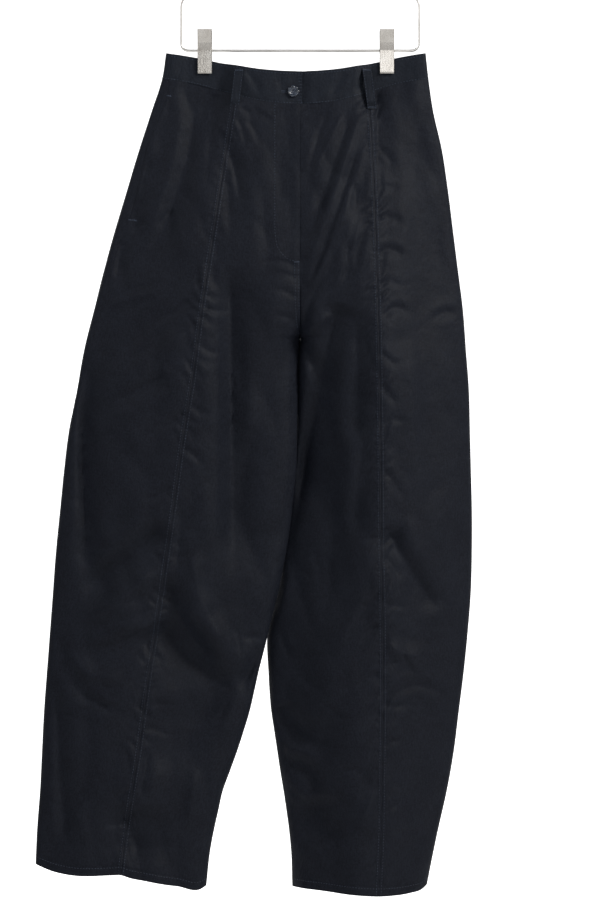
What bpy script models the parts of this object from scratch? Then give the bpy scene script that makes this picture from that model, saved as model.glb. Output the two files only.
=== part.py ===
"""Baggy trousers hung from a two-clip wire hanger, as closed solids.

Millimetres are used here, and the meshes are written in metres. The origin is the inside top of the
hanger's hook, z is up, the front faces -y, and `drop` is the distance below the origin. Right and left
are the wearer's. On each side `out` is the distance from the centre front towards the outer edge.
"""

import math

import bpy
import numpy as np

# Sizes in millimetres
SEAM_GAP = 0.3          # between two pieces at a seam
PANEL_WALL = 1.2        # crisp cotton with its seam allowance
HEM_WALL = 2.0          # the turned hem
BAND_WALL = 1.9         # folded waistband
BAND_PROUD = 0.5        # the band stands out from the panels below it
CROTCH_DROP = 552.5     # where the four inside edges meet
FLY_END_DROP = 453.7
FLY_LIFT = 1.2          # folded edge of the fly
FRONT_CURVE = 58.0      # height of the seat curve, front and back
BACK_CURVE = 78.0
CROTCH_ROUND = 50.0     # how far out the legs round away from the crotch
LAP = 2.6               # the right band ends this far past the centre
UNDERLAP = 30.0         # the left band runs this far under it
PINCH_DEPTH = 2.2       # half the cloth's thickness between the jaws
CLIP_WIDTH = 19.0
CLIP_OUT = {1: 123.7, 2: 113.0}   # jaw centres, right and left
CLIP_TOP_DROP = 152.0
CLIP_END_DROP = 209.0
BAR_DROP = 179.0
FRAME_HALF = 154.5
FRAME_TOP_DROP = 112.0
NECK_DROP = 66.0
WIRE = 1.75             # wire radius
HOOK_RADIUS = 20.0      # inside of the hook
LOOP_HALVES = (-6.0, 0.0, 6.0)    # a belt loop is 12 mm wide
LOOP_BESIDE = (-10.0, 10.0)       # a belt lies flat past both its edges
LOOP_WALL = 1.3
LOOP_STAND = 4.8        # room between a belt loop and the band
BUTTON_RADIUS = 7.7
BUTTON_OUT = 8.7
BUTTON_DROP = 233.1
RIGHT = 1
LEFT = 2


def table(columns, *rows):
    """A table with named columns, as one array a column."""
    return {name: np.array(values) for name, values in zip(columns.split(), zip(*rows))}


def smooth(xs, ys, at):
    """The smooth curve through a table's rows, level past its ends."""
    slope = np.gradient(ys.astype(float), xs)
    at = np.clip(at, xs[0], xs[-1])
    i = np.clip(np.searchsorted(xs, at, side="right") - 1, 0, len(xs) - 2)
    span = xs[i + 1] - xs[i]
    t = (at - xs[i]) / span
    return (
        (1 + 2 * t) * (1 - t) ** 2 * ys[i]
        + t * (1 - t) ** 2 * span * slope[i]
        + t * t * (3 - 2 * t) * ys[i + 1]
        + t * t * (t - 1) * span * slope[i + 1]
    )


def ramp(low, high, value):
    """0 below low, 1 above high, smooth between."""
    t = np.clip((value - low) / (high - low), 0, 1)
    return t * t * (3 - 2 * t)


# The photo's outline, outer edge of each side
OUTLINE_RIGHT = table(
    "drop outer",
    (182, 174.2), (215.8, 179.4), (256.1, 192.4), (308.1, 209.3), (360.1, 224.9), (412.1, 240.5),
    (464.1, 254.8), (516.1, 267.8), (568.1, 280.8), (620.1, 289.9), (672.1, 300.3), (724.1, 306.8),
    (776.1, 312), (828.1, 317.2), (880.1, 321.1), (932.1, 325), (984.1, 328.9), (1036.1, 332.8),
    (1088.1, 335.4), (1140.1, 338), (1192.1, 341.9), (1238.9, 343.9),
)
OUTLINE_LEFT = table(
    "drop outer",
    (182, 163.4), (215.8, 167.1), (256.1, 172.9), (308.1, 184.6), (360.1, 192.4), (412.1, 198.9),
    (464.1, 205.4), (516.1, 211.9), (568.1, 215.8), (620.1, 219.7), (672.1, 221), (724.1, 222.3),
    (776.1, 223.6), (828.1, 223.6), (880.1, 222.3), (932.1, 218.4), (984.1, 213.2), (1036.1, 206.7),
    (1088.1, 200.2), (1140.1, 191.1), (1192.1, 179.4), (1238.9, 169.7), (1262.3, 165.1),
)

# Inner edge of each leg. The left leg's runs behind the right leg
INSIDE_RIGHT = table(
    "drop inner",
    (552.5, 0.1), (562.9, 0.8), (575.9, 1.6), (633.1, 3), (695.5, 3.9), (715, 4.2), (763.1, 8.7),
    (803.4, 13.5), (841.1, 19.8), (876.2, 26.5), (919.1, 37.1), (955.5, 46), (984.1, 53.3),
    (1010.1, 59.1), (1036.1, 65), (1062.1, 72.8), (1088.1, 81.2), (1114.1, 90.6), (1140.1, 100.1),
    (1166.1, 106), (1192.1, 111.8), (1218.1, 116.6), (1262.3, 121.5),
)
INSIDE_LEFT = table(
    "drop inner",
    (552.5, 0.1), (562.9, -0.1), (575.9, -0.8), (633.1, -2.2), (695.5, -3.4), (715, -5.2),
    (737.1, -8.7), (763.1, -13), (803.4, -18.9), (841.1, -24.7), (876.2, -30.6), (919.1, -39.6),
    (945.1, -42.9), (964.6, -42.5), (984.1, -41.3), (1010.1, -39.9), (1036.1, -37.7),
    (1062.1, -33.8), (1088.1, -29.9), (1114.1, -26), (1140.1, -21.7), (1166.1, -17.8),
    (1192.1, -14.3), (1218.1, -11.7), (1264.9, -10.1),
)

# The long front seam of each side
SEAM_RIGHT = table(
    "drop seam",
    (248.3, 85.8), (339.3, 100.1), (426.4, 113.1), (521.3, 127.4), (601.9, 137.8), (682.5, 150.8),
    (796.9, 166.4), (891.8, 180.7), (995.8, 196.3), (1108.9, 211.9), (1188.2, 224.9),
    (1246.7, 232.1),
)
SEAM_LEFT = table(
    "drop seam",
    (248.3, 89.7), (339.3, 94.9), (413.4, 97.5), (488.8, 99.7), (601.9, 102.2), (702, 103.5),
    (802.1, 104), (954.2, 106.6), (1038.7, 106.6), (1123.2, 105.3), (1207.7, 104), (1271.4, 101),
)

# How far the right side seam lies in front of the outline
SIDE_SEAM_RIGHT = table(
    "drop ahead",
    (215.8, 8.5), (236.6, 11.7), (304.2, 9.1), (399.1, 13), (425.1, 9.8), (486.2, 9.1), (533, 7.8),
    (577.2, 6.5), (620.1, 2.6), (672.1, -1.3), (1238.9, -2.6),
)

# Band top, waist seam and hems, from the centre (0) to the outline (1)
BAND = table(
    "across top",
    (0, 206.7), (0.16, 205.7), (0.3, 203.6), (0.47, 198.9), (0.66, 192.7), (0.77, 188.5),
    (1, 182.3),
)
WAIST = table(
    "across drop",
    (0, 249.3), (0.12, 248.7), (0.34, 243.6), (0.51, 235.3), (0.75, 223.1), (1, 215.8),
)
HEM_RIGHT = table(
    "across drop",
    (0, 1263), (0.03, 1266.9), (0.165, 1263.6), (0.335, 1256.5), (0.44, 1251.9), (0.5, 1248),
    (0.56, 1248.7), (0.81, 1248), (0.9, 1244.1), (1, 1235.7),
)
HEM_LEFT = table(
    "across drop",
    (0, 1264.9), (0.22, 1267.5), (0.43, 1270.8), (0.88, 1270.8), (0.96, 1267.5), (1, 1262.3),
)

# Half depths from the middle plane, the radius of the folded edges, and how far a leg leads the other
DEPTHS = table(
    "drop centre front_right back_right front_left back_left tip lead",
    (182, 12, 12, 12, 12, 12, 4, 0),
    (248.3, 13, 14, 14, 14, 14, 4.2, 0),
    (282.1, 16, 18, 20, 19, 21, 5, 0),
    (334.1, 24, 25, 29, 28, 31, 6, 0),
    (386.1, 31, 31, 37, 37, 41, 7, 0),
    (438.1, 37, 36, 43, 44, 49, 7, 0),
    (503.1, 42, 40, 47, 51, 56, 7, 0),
    (551.2, 44, 42, 48, 55, 60, 7, 0),
    (552.5, 44, 42, 48, 55, 60, 7, 0),
    (568.1, 44, 42, 47, 57, 61, 7, 0.3),
    (633.1, 44, 42, 45, 60, 63, 7, 5),
    (695.5, 44, 42, 44, 62, 64, 7, 9),
    (737.1, 44, 41, 42, 63, 65, 7, 9),
    (841.1, 44, 38, 38, 63, 63, 7, 9),
    (945.1, 44, 34, 34, 60, 60, 7, 9),
    (1049.1, 44, 30, 30, 56, 56, 7, 7),
    (1153.1, 44, 25, 25, 53, 53, 7, 5),
    (1264.9, 44, 20, 20, 50, 50, 7, 4),
)

# Folds: a path through three points (x, drop), half width, depth in (minus is a ridge), and the
# shares of its length over which it starts and ends. Side is 1 right, 2 left
FOLDS_FRONT = table(
    "name side x1 d1 x2 d2 x3 d3 half depth start end",
    ("clip trough right", 1, -130, 234, -148.2, 347.1, -217.1, 512.2, 9, 6, 0, 0.4),
    ("clip trough left", 2, 113.1, 234, 119.6, 282.1, 111.8, 340.6, 10, 5, 0, 0.4),
    ("seam hollow right", 1, -91, 308.1, -78, 347.1, -70.2, 438.1, 10, 4, 0.3, 0.35),
    ("inner right", 1, -48.1, 360.1, -44.2, 399.1, -41.6, 438.1, 7, 2, 0.3, 0.3),
    ("front crease right", 1, -88.4, 468, -83.2, 672.1, -78, 867.1, 15, 7, 0.18, 0.2),
    ("front ridge right", 1, -101.4, 490.1, -106.6, 659.1, -110.5, 854.1, 9, -3, 0.25, 0.25),
    ("fan 1 left", 2, 75.4, 258.7, 44.2, 336.7, 7.8, 453.7, 9, 4.5, 0.12, 0.25),
    ("fan 2 left", 2, 80.6, 308.1, 53.3, 367.9, 13, 492.7, 9, 4.5, 0.12, 0.2),
    ("fan 3 left", 2, 78, 360.1, 59.8, 431.6, 32.5, 535.6, 10, 5, 0.15, 0.3),
    ("fan ridge left", 2, 87.1, 275.6, 48.1, 379.6, 6.5, 490.1, 6, -3, 0.15, 0.2),
    ("side trough left", 2, 146.9, 265.2, 154.7, 503.1, 172.9, 806, 14, 6, 0.12, 0.25),
    ("side ridge left", 2, 171.6, 295.1, 182, 503.1, 193.7, 737.1, 12, -3, 0.2, 0.3),
    ("hip dent left", 2, 114.4, 412.1, 122.2, 483.6, 130, 555.1, 11, 4, 0.35, 0.35),
    ("edge trough right", 1, -273, 581.1, -274.3, 724.1, -265.2, 880.1, 9, 6, 0.2, 0.25),
    ("thigh sweep right", 1, -175.5, 600.6, -204.1, 617.5, -240.5, 635.7, 11, 3.5, 0.3, 0.35),
    ("knee sweep right", 1, -171.6, 802.1, -227.5, 847.6, -288.6, 903.5, 13, 7, 0.2, 0.25),
    ("knee ridge right", 1, -175.5, 834.6, -227.5, 882.7, -286, 932.1, 9, -3, 0.25, 0.3),
    ("shin sweep right", 1, -195, 932.1, -234, 945.1, -278.2, 960.7, 11, 4, 0.3, 0.3),
    ("shin ridge right", 1, -304.2, 958.1, -266.5, 997.1, -215.8, 1023.1, 12, -4, 0.3, 0.3),
    ("inner sweep a right", 1, -169, 828.1, -136.5, 906.1, -110.5, 1007.5, 12, 8, 0.15, 0.25),
    ("inner sweep b right", 1, -178.1, 890.5, -153.4, 945.1, -106.6, 999.7, 9, 4, 0.2, 0.3),
    ("inner ridge right", 1, -132.6, 841.1, -106.6, 932.1, -88.4, 981.5, 9, -4, 0.2, 0.3),
    ("inner notch right", 1, -49.4, 964.6, -62.4, 981.5, -78, 1007.5, 9, 5, 0.1, 0.3),
    ("hem hollow right", 1, -179.4, 1153.1, -182, 1192.1, -184.6, 1233.7, 14, 5, 0.35, 0.35),
    ("edge crease right", 1, -315.9, 997.1, -309.4, 1114.1, -301.6, 1218.1, 8, 4, 0.25, 0.25),
    ("seam trough left", 2, 88.4, 542.1, 83.2, 685.1, 74.1, 821.6, 11, 5, 0.25, 0.25),
    ("side sweep left", 2, 110.5, 791.7, 145.6, 841.1, 184.6, 908.7, 12, 6, 0.15, 0.3),
    ("side ridge low left", 2, 117, 908.7, 145.6, 939.9, 175.5, 971.1, 12, -4, 0.3, 0.3),
    ("calf sweep a left", 2, -29.9, 1033.5, -9.1, 1051.7, 15.6, 1077.7, 10, 5, 0.1, 0.35),
    ("calf sweep b left", 2, -22.1, 1103.7, 6.5, 1111.5, 20.8, 1168.7, 9, 4, 0.15, 0.3),
    ("hem hollow left", 2, 32.5, 1159.6, 58.5, 1179.1, 80.6, 1205.1, 15, 5, 0.3, 0.3),
    ("inner break left", 2, 44.2, 548.6, 23.4, 672.1, -10.4, 821.6, 10, -4.5, 0.2, 0.2),
    ("inner trough left", 2, 65, 561.6, 44.2, 685.1, 15.6, 841.1, 13, 4, 0.25, 0.3),
)
FOLDS_BACK = table(
    "name side x1 d1 x2 d2 x3 d3 half depth start end",
    ("seat drape right", 1, -124, 236, -96, 330, -30, 440, 11, 6, 0, 0.4),
    ("seat drape left", 2, 113, 236, 92, 340, 34, 455, 11, 6, 0, 0.4),
    ("seat side right", 1, -128, 236, -168, 350, -205, 470, 10, 4, 0, 0.4),
    ("seat side left", 2, 118, 236, 150, 350, 168, 480, 10, 4, 0, 0.4),
    ("under seat right", 1, -40, 560, -110, 600, -200, 615, 13, 6, 0.2, 0.3),
    ("under seat left", 2, 40, 565, 95, 600, 165, 610, 13, 6, 0.2, 0.3),
    ("back crease right", 1, -150, 500, -146, 690, -140, 860, 15, 6, 0.2, 0.25),
    ("back crease left", 2, 120, 500, 112, 690, 100, 850, 15, 6, 0.2, 0.25),
    ("back ridge right", 1, -190, 520, -196, 680, -200, 840, 12, -3, 0.25, 0.25),
    ("back knee right", 1, -120, 840, -190, 880, -270, 890, 13, 6, 0.2, 0.3),
    ("back knee low right", 1, -110, 930, -180, 960, -260, 985, 11, 5, 0.25, 0.3),
    ("back knee left", 2, 20, 850, 80, 890, 160, 900, 13, 6, 0.2, 0.3),
    ("back knee low left", 2, 10, 935, 70, 975, 150, 985, 11, 5, 0.25, 0.3),
    ("back calf right", 1, -150, 1030, -190, 1080, -260, 1110, 12, 5, 0.25, 0.3),
    ("back calf left", 2, 30, 1050, 80, 1090, 140, 1100, 12, 5, 0.25, 0.3),
)

# Shares of the height from waist seam to hem, closer at the crotch and hem
ROWS = np.array([
    0.0, 0.018, 0.04, 0.063, 0.086, 0.11, 0.134, 0.158, 0.182, 0.206, 0.228, 0.246, 0.26, 0.272, 0.283,
    0.291, 0.2985, 0.306, 0.315, 0.328, 0.346, 0.37, 0.396, 0.422, 0.449, 0.477, 0.505, 0.533, 0.561,
    0.589, 0.617, 0.645, 0.673, 0.702, 0.733, 0.764, 0.795, 0.826, 0.857, 0.888, 0.918, 0.948, 0.974,
    0.9895, 1.0,
])
CROTCH_ROW = 0.2985
FRONT_CENTRE_COLUMNS = 8
FRONT_SIDE_COLUMNS = 8
BACK_COLUMNS = 12


def outline(side, drop):
    rows = OUTLINE_RIGHT if side == RIGHT else OUTLINE_LEFT
    return smooth(rows["drop"], rows["outer"], drop)


def inside_edge(side, drop):
    rows = INSIDE_RIGHT if side == RIGHT else INSIDE_LEFT
    return np.where(drop < CROTCH_DROP, 0.0, smooth(rows["drop"], rows["inner"], drop))


def front_seam(side, drop):
    rows = SEAM_RIGHT if side == RIGHT else SEAM_LEFT
    return smooth(rows["drop"], rows["seam"], drop)


def side_seam_ahead(side, drop):
    if side == LEFT:
        return -5.0
    return smooth(SIDE_SEAM_RIGHT["drop"], SIDE_SEAM_RIGHT["ahead"], drop)


def row_drop(side, back, across, share):
    """The drop of a row: as the waist seam slopes at its top, as the hem at its end."""
    hems = HEM_RIGHT if side == RIGHT else HEM_LEFT
    top = smooth(WAIST["across"], WAIST["drop"], across)
    end = smooth(hems["across"], hems["drop"], across)
    if back:
        end = end - 2.6
    return top + share * (end - top)


def legness(back, share):
    """0 where the section crosses the centre, 1 where the leg is closed."""
    curve = (BACK_CURVE if back else FRONT_CURVE) / 1015.0
    q = np.clip((share - CROTCH_ROW + curve) / curve, 0, 1)
    return 1 - np.sqrt(np.maximum(0, 1 - q * q))


def depth_at(column, drop):
    return smooth(DEPTHS["drop"], DEPTHS[column], drop)


def pinch(side, out, drop):
    """1 where the clip's jaws press the cloth flat."""
    near = 1 - ramp(20, 42, abs(out - CLIP_OUT[side]))
    return near * (1 - ramp(214, 285, drop))


def rounded(distance, radius):
    """The rise of a round edge of this radius, from 0 at the edge to 1 at the radius."""
    left = np.clip(1 - distance / radius, 0, 1)
    return np.sqrt(1 - left**2)


def half_depth(side, back, across, out, drop, width, share):
    """From the middle plane to the cloth's outside, before its folds."""
    tip = depth_at("tip", drop)
    centre = depth_at("centre", drop) - tip
    belly = depth_at(("back_" if back else "front_") + ("right" if side == RIGHT else "left"), drop) - tip
    outer = rounded((1 - across) * width, tip)
    swell = np.sin(math.pi * np.clip(across, 0, 1)) ** 1.25
    body = tip * outer + centre * np.cos(math.pi / 2 * across) ** 2 + (belly - 0.5 * centre) * swell
    closed = legness(back, share)
    body = body * (1 - closed + closed * rounded(across * width, CROTCH_ROUND))
    tube = tip * outer * rounded(across * width, tip) + belly * swell
    blend = ramp(0.18, 0.44, share)
    depth = body * (1 - blend) + tube * blend
    held = pinch(side, out, drop)
    return depth * (1 - held) + np.minimum(depth, PINCH_DEPTH) * held


def fold_depth(folds, side, x, drop):
    """How far the folds take the cloth in at these points."""
    total = np.zeros(x.shape)
    steps = np.linspace(0, 1, 25)
    for i, fold_side in enumerate(folds["side"]):
        if fold_side != side:
            continue
        one, two, three = ([folds[f"{axis}{n}"][i] for axis in "xd"] for n in (1, 2, 3))
        path = [
            a * (1 - steps) ** 2 + (4 * b - a - c) * steps * (1 - steps) + c * steps**2
            for a, b, c in zip(one, two, three)
        ]
        far = np.hypot(x[..., None] - path[0], drop[..., None] - path[1])
        nearest = far.argmin(-1)
        far = far.min(-1) / folds["half"][i]
        along = steps[nearest]
        start, end = folds["start"][i], folds["end"][i]
        strength = ramp(0, start, along) if start > 0 else 1.0
        strength = strength * ramp(0, end, 1 - along)
        shape = np.exp(-(far**2)) - 0.28 * np.exp(-((far - 2.0) ** 2) / 0.7)
        total += folds["depth"][i] * strength * shape
    return total


def cloth_point(side, turn, share):
    """The cloth's outside. `turn` goes from the inner edge (0) by the outline (1) to the inner edge (2)."""
    back = turn > 1
    across = np.where(back, 2 - turn, turn)
    points = np.zeros(turn.shape + (3,))
    sign = -1 if side == RIGHT else 1
    for face in (False, True):
        drop = row_drop(side, face, across, share)
        inner = inside_edge(side, row_drop(side, face, 0.0, share))
        width = outline(side, row_drop(side, face, 1.0, share)) - inner
        out = inner + across * width
        leg = legness(face, share)
        depth = half_depth(side, face, across, out, drop, width, share)
        folds = FOLDS_BACK if face else FOLDS_FRONT
        fold = fold_depth(folds, side, sign * out, drop)
        fold = fold * (1 - leg + leg * ramp(0, 14, across * width)) * ramp(0, 20, (1 - across) * width)
        depth = np.maximum(depth - fold, np.minimum(depth, PINCH_DEPTH))
        if side == RIGHT and not face:
            depth = depth + FLY_LIFT * (1 - ramp(4, 15, out)) * (1 - ramp(-8, 8, drop - FLY_END_DROP))
        lead = depth_at("lead", drop) * (1 - across) ** 2 * (-1 if side == RIGHT else 1)
        y = (depth if face else -depth) + lead * leg
        chosen = back == face
        points[chosen] = np.stack([sign * out, y, -drop], -1)[chosen]
    return points


def section_turns(side, share):
    """Where a row's columns lie: close where the section bends, with one on each seam."""
    near = 1 - np.cos(np.linspace(0, math.pi / 2, 15))
    across = np.concatenate([0.05 * near, np.linspace(0.05, 0.95, 120)[1:-1], 1 - 0.05 * near[::-1]])
    turn = np.concatenate([across, 2 - across[::-1][1:]])
    points = cloth_point(side, turn, np.full(turn.shape, share))
    step = np.diff(points[:, :2], axis=0)
    length = np.hypot(step[:, 0], step[:, 1])
    heading = np.unwrap(np.arctan2(step[:, 1], step[:, 0]))
    bend = np.abs(np.gradient(heading))
    smoothed = np.convolve(bend, np.ones(9) / 9, mode="same")
    measure = np.concatenate([[0], np.cumsum(length + 16 * smoothed)])
    out = np.abs(points[:, 0]) if share < CROTCH_ROW else points[:, 0] * (-1 if side == RIGHT else 1)
    drop = -points[:, 2]
    tip = len(across) - 1
    seam_out = front_seam(side, np.interp(0.5, across, drop[: tip + 1]))
    seam = np.interp(seam_out, out[: tip + 1], measure[: tip + 1])
    ahead = side_seam_ahead(side, drop[tip])
    if ahead >= 0:
        edge = np.interp(out[tip] - ahead, out[: tip + 1], measure[: tip + 1])
    else:
        edge = np.interp(-(out[tip] + ahead), -out[tip:], measure[tip:])
    stops = np.concatenate([
        np.linspace(0, seam, FRONT_CENTRE_COLUMNS + 1),
        np.linspace(seam, edge, FRONT_SIDE_COLUMNS + 1)[1:],
        np.linspace(edge, measure[-1], BACK_COLUMNS + 1)[1:],
    ])
    return np.interp(stops, measure, turn)


def unit(vectors):
    return vectors / np.maximum(np.linalg.norm(vectors, axis=-1, keepdims=True), 1e-9)


def along(points, axis):
    """The direction at each point, halfway between those of the steps before and after it."""
    points = np.moveaxis(points, axis, 0)
    steps = unit(np.diff(points, axis=0))
    total = np.concatenate([steps, steps[-1:]]) + np.concatenate([steps[:1], steps])
    return np.moveaxis(unit(total), 0, axis)


def side_grid(side):
    """One side's outside points and normals, rows from waist seam to hem."""
    turns = np.array([section_turns(side, share) for share in ROWS])
    shares = np.repeat(ROWS[:, None], turns.shape[1], axis=1)
    points = cloth_point(side, turns, shares)
    across = along(points, 1)
    leg = ROWS >= CROTCH_ROW - 1e-6
    wrap = unit(points[:, 1] - points[:, 0]) + unit(points[:, -1] - points[:, -2])
    across[leg, 0] = wrap[leg]
    across[leg, -1] = wrap[leg]
    down = along(points, 0)
    crotch = int(np.argmin(abs(ROWS - CROTCH_ROW)))
    for column in (0, -1):
        down[crotch, column] = points[crotch + 1, column] - points[crotch, column]
    normals = unit(np.cross(across, down))
    if side == LEFT:
        normals = -normals
    seat = ROWS <= CROTCH_ROW + 1e-6
    for column, facing in ((0, -1), (-1, 1)):
        curve = np.gradient(points[: crotch + 1, column], axis=0)
        zero = np.zeros(len(curve))
        normals[seat, column] = unit(np.stack([zero, -facing * curve[:, 2], facing * curve[:, 1]], -1))
        normals[crotch, column] = (0.7 if side == RIGHT else -0.7, 0, -0.7)
    clear = np.zeros(points.shape)
    clear[ROWS <= CROTCH_ROW + 1e-6, :, 0] = (-1 if side == RIGHT else 1) * SEAM_GAP / 2
    return points + clear, normals, unit(across)


def mesh_object(name, points, faces, material):
    """One closed body, its faces turned outwards."""
    points = np.asarray(points, float)
    volume = 0.0
    for face in faces:
        for b, c in zip(face[1:], face[2:]):
            volume += np.dot(points[face[0]], np.cross(points[b], points[c]))
    if volume < 0:
        faces = [face[::-1] for face in faces]
    mesh = bpy.data.meshes.new(name)
    mesh.from_pydata((points / 1000).tolist(), [], [list(map(int, face)) for face in faces])
    mesh.materials.append(material)
    obj = bpy.data.objects.new(name, mesh)
    bpy.context.scene.collection.objects.link(obj)
    return obj


def wall(name, outside, inside, material):
    """A cloth piece between its outer and inner grids of points."""
    rows, columns = outside.shape[:2]
    index = np.arange(rows * columns).reshape(rows, columns)
    other = index + rows * columns
    faces = []
    for r in range(rows - 1):
        for c in range(columns - 1):
            a, b, d, e = index[r, c], index[r, c + 1], index[r + 1, c], index[r + 1, c + 1]
            faces += [(a, b, e), (a, e, d)]
            a, b, d, e = other[r, c], other[r, c + 1], other[r + 1, c], other[r + 1, c + 1]
            faces += [(a, e, b), (a, d, e)]
    for c, turned in ((0, True), (columns - 1, False)):
        for r in range(rows - 1):
            a, b, d, e = index[r, c], index[r + 1, c], other[r, c], other[r + 1, c]
            faces += [(a, b, e), (a, e, d)] if turned else [(a, e, b), (a, d, e)]
    for r, turned in ((0, False), (rows - 1, True)):
        for c in range(columns - 1):
            a, b, d, e = index[r, c], index[r, c + 1], other[r, c], other[r, c + 1]
            faces += [(a, b, e), (a, e, d)] if turned else [(a, e, b), (a, d, e)]
    points = np.concatenate([outside.reshape(-1, 3), inside.reshape(-1, 3)])
    return mesh_object(name, points, faces, material)


def panel(name, grid, first, last, material):
    """A panel from one column of the side's grid to another, cut back at its seams."""
    points, normals, across = grid
    outside = points[:, first : last + 1].copy()
    tangent = across[:, first : last + 1]
    wider = 1 + 2 * np.exp(-(((ROWS - CROTCH_ROW - 0.008) / 0.012) ** 2))[:, None]
    outside[:, 0] += tangent[:, 0] * SEAM_GAP / 2 * (wider if first == 0 else 1)
    outside[:, -1] -= tangent[:, -1] * SEAM_GAP / 2 * (wider if last == len(points[0]) - 1 else 1)
    outside[0] += unit(outside[1] - outside[0]) * 0.6
    thick = np.full(len(ROWS), PANEL_WALL)
    thick[-2:] = HEM_WALL
    inside = outside - normals[:, first : last + 1] * thick[:, None, None]
    return wall(name, outside, inside, material)


def band_point(side, turn, share, under=0.0):
    """The waistband's outside, share 0 at its top and 1 at its seam. `turn` is as in cloth_point."""
    if turn < 0:
        side, turn = (LEFT if side == RIGHT else RIGHT), -turn
    back = turn > 1
    across = 2 - turn if back else turn
    top = float(smooth(BAND["across"], BAND["top"], across))
    seam = float(smooth(WAIST["across"], WAIST["drop"], across)) - 0.1
    drop = top + share * (seam - top)
    outer = BAND["top"][-1] + share * (WAIST["drop"][-1] - BAND["top"][-1])
    width = float(outline(side, outer))
    out = across * width
    depth = float(half_depth(side, back, across, out, drop, width, 0.0)) - under
    y = depth + BAND_PROUD * min(1.0, 60 * (1 - across))
    return np.array([(-1 if side == RIGHT else 1) * out, y if back else -y, -drop])


def build_band_piece(name, columns, before, after, material):
    """A waistband piece from its columns, each a (side, turn, under) tuple.

    The columns before and after it only turn its ends as its neighbours' ends.
    """
    shares = (0.0, 0.06, 0.5, 1.0)
    outside = np.array([[band_point(side, turn, share, under) for side, turn, under in columns] for share in shares])
    across = along(outside, 1)
    normals = unit(np.cross(across, along(outside, 0)))
    middle = outside.mean((0, 1))
    facing = -1 if middle[1] < 0 else 1
    if (normals[..., 1] * facing).sum() < 0:
        normals = -normals
    kept = slice(before, outside.shape[1] - after)
    outside, normals, step = outside[:, kept], normals[:, kept], unit(across)[:, kept]
    outside[:, 0] += step[:, 0] * SEAM_GAP / 2
    outside[:, -1] -= step[:, -1] * SEAM_GAP / 2
    inside = outside - normals * BAND_WALL
    return wall(name, outside, inside, material)


def build_waistbands(turns, material):
    """Two fronts and the back, on the panels' own columns so that the seams match."""
    edge = FRONT_CENTRE_COLUMNS + FRONT_SIDE_COLUMNS
    right, left = turns[RIGHT], turns[LEFT]
    lap = LAP / float(outline(RIGHT, 215.0))
    columns = [(RIGHT, -lap, 0.0), (RIGHT, -lap / 2, 0.0)] + [(RIGHT, t, 0.0) for t in right[: edge + 2]]
    build_band_piece("waistband_front_right", columns, 0, 1, material)
    hidden = BAND_WALL + SEAM_GAP + 0.1
    width = float(outline(LEFT, 215.0))
    columns = [(LEFT, -UNDERLAP * (3 - i) / 3 / width, hidden) for i in range(4)]
    for out in (LAP + 0.8, LAP + 4, LAP + 8):
        columns.append((LEFT, out / width, hidden * float(1 - ramp(LAP + 0.8, LAP + 12, out))))
    columns += [(LEFT, t, 0.0) for t in left[: edge + 2] if t * width > LAP + 12]
    build_band_piece("waistband_front_left", columns, 0, 1, material)
    columns = [(RIGHT, t, 0.0) for t in right[edge - 1 :]]
    columns += [(LEFT, t, 0.0) for t in left[edge - 1 : -1][::-1]]
    build_band_piece("waistband_back", columns, 1, 1, material)


def surface_y(side, back, out, drop):
    """The outside of band or panel near the waist, for what lies on it."""
    width = float(outline(side, drop))
    across = out / width
    depth = float(half_depth(side, back, across, out, drop, width, 0.0))
    folds = FOLDS_BACK if back else FOLDS_FRONT
    x = np.array([(-1 if side == RIGHT else 1) * out])
    depth -= float(fold_depth(folds, side, x, np.array([drop]))[0]) * float(ramp(232, 244, drop))
    return depth


def build_loop(name, side, back, top, end, material):
    """A belt loop: a strip from the band's top to below its seam, standing off between its tacks."""
    shares = np.linspace(0, 1, 11)
    outside, inside = [], []
    sign = -1 if side == RIGHT else 1
    for share in shares:
        out = top[0] + share * (end[0] - top[0])
        drop = top[1] + share * (end[1] - top[1])
        depths = np.array([surface_y(side, back, abs(out + half), drop) for half in LOOP_HALVES])
        nearby = max(surface_y(side, back, abs(out + half), drop) for half in LOOP_BESIDE)
        off = float(ramp(0, 0.2, share) * ramp(0, 0.2, 1 - share))
        stand = max(depths.max(), nearby) + LOOP_STAND
        under = depths * (1 - off) + stand * off + BAND_PROUD + SEAM_GAP + 0.55
        for rows, more in ((outside, LOOP_WALL), (inside, 0.0)):
            y = (under + more) * (1 if back else -1)
            rows.append([[sign * (out + half), y[i], -drop] for i, half in enumerate(LOOP_HALVES)])
    return wall(name, np.array(outside), np.array(inside), material)


def build_loops(material):
    build_loop("loop_front_right", RIGHT, False, (79.0, 203.5), (85.0, 254.5), material)
    build_loop("loop_front_left", LEFT, False, (86.5, 202.5), (93.5, 255.5), material)
    build_loop("loop_back_right", RIGHT, True, (84.0, 203.5), (87.0, 254.5), material)
    build_loop("loop_back_left", LEFT, True, (82.0, 203.5), (85.0, 254.5), material)
    build_loop("loop_back_centre", LEFT, True, (0.0, 207.5), (0.0, 258.5), material)


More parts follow.
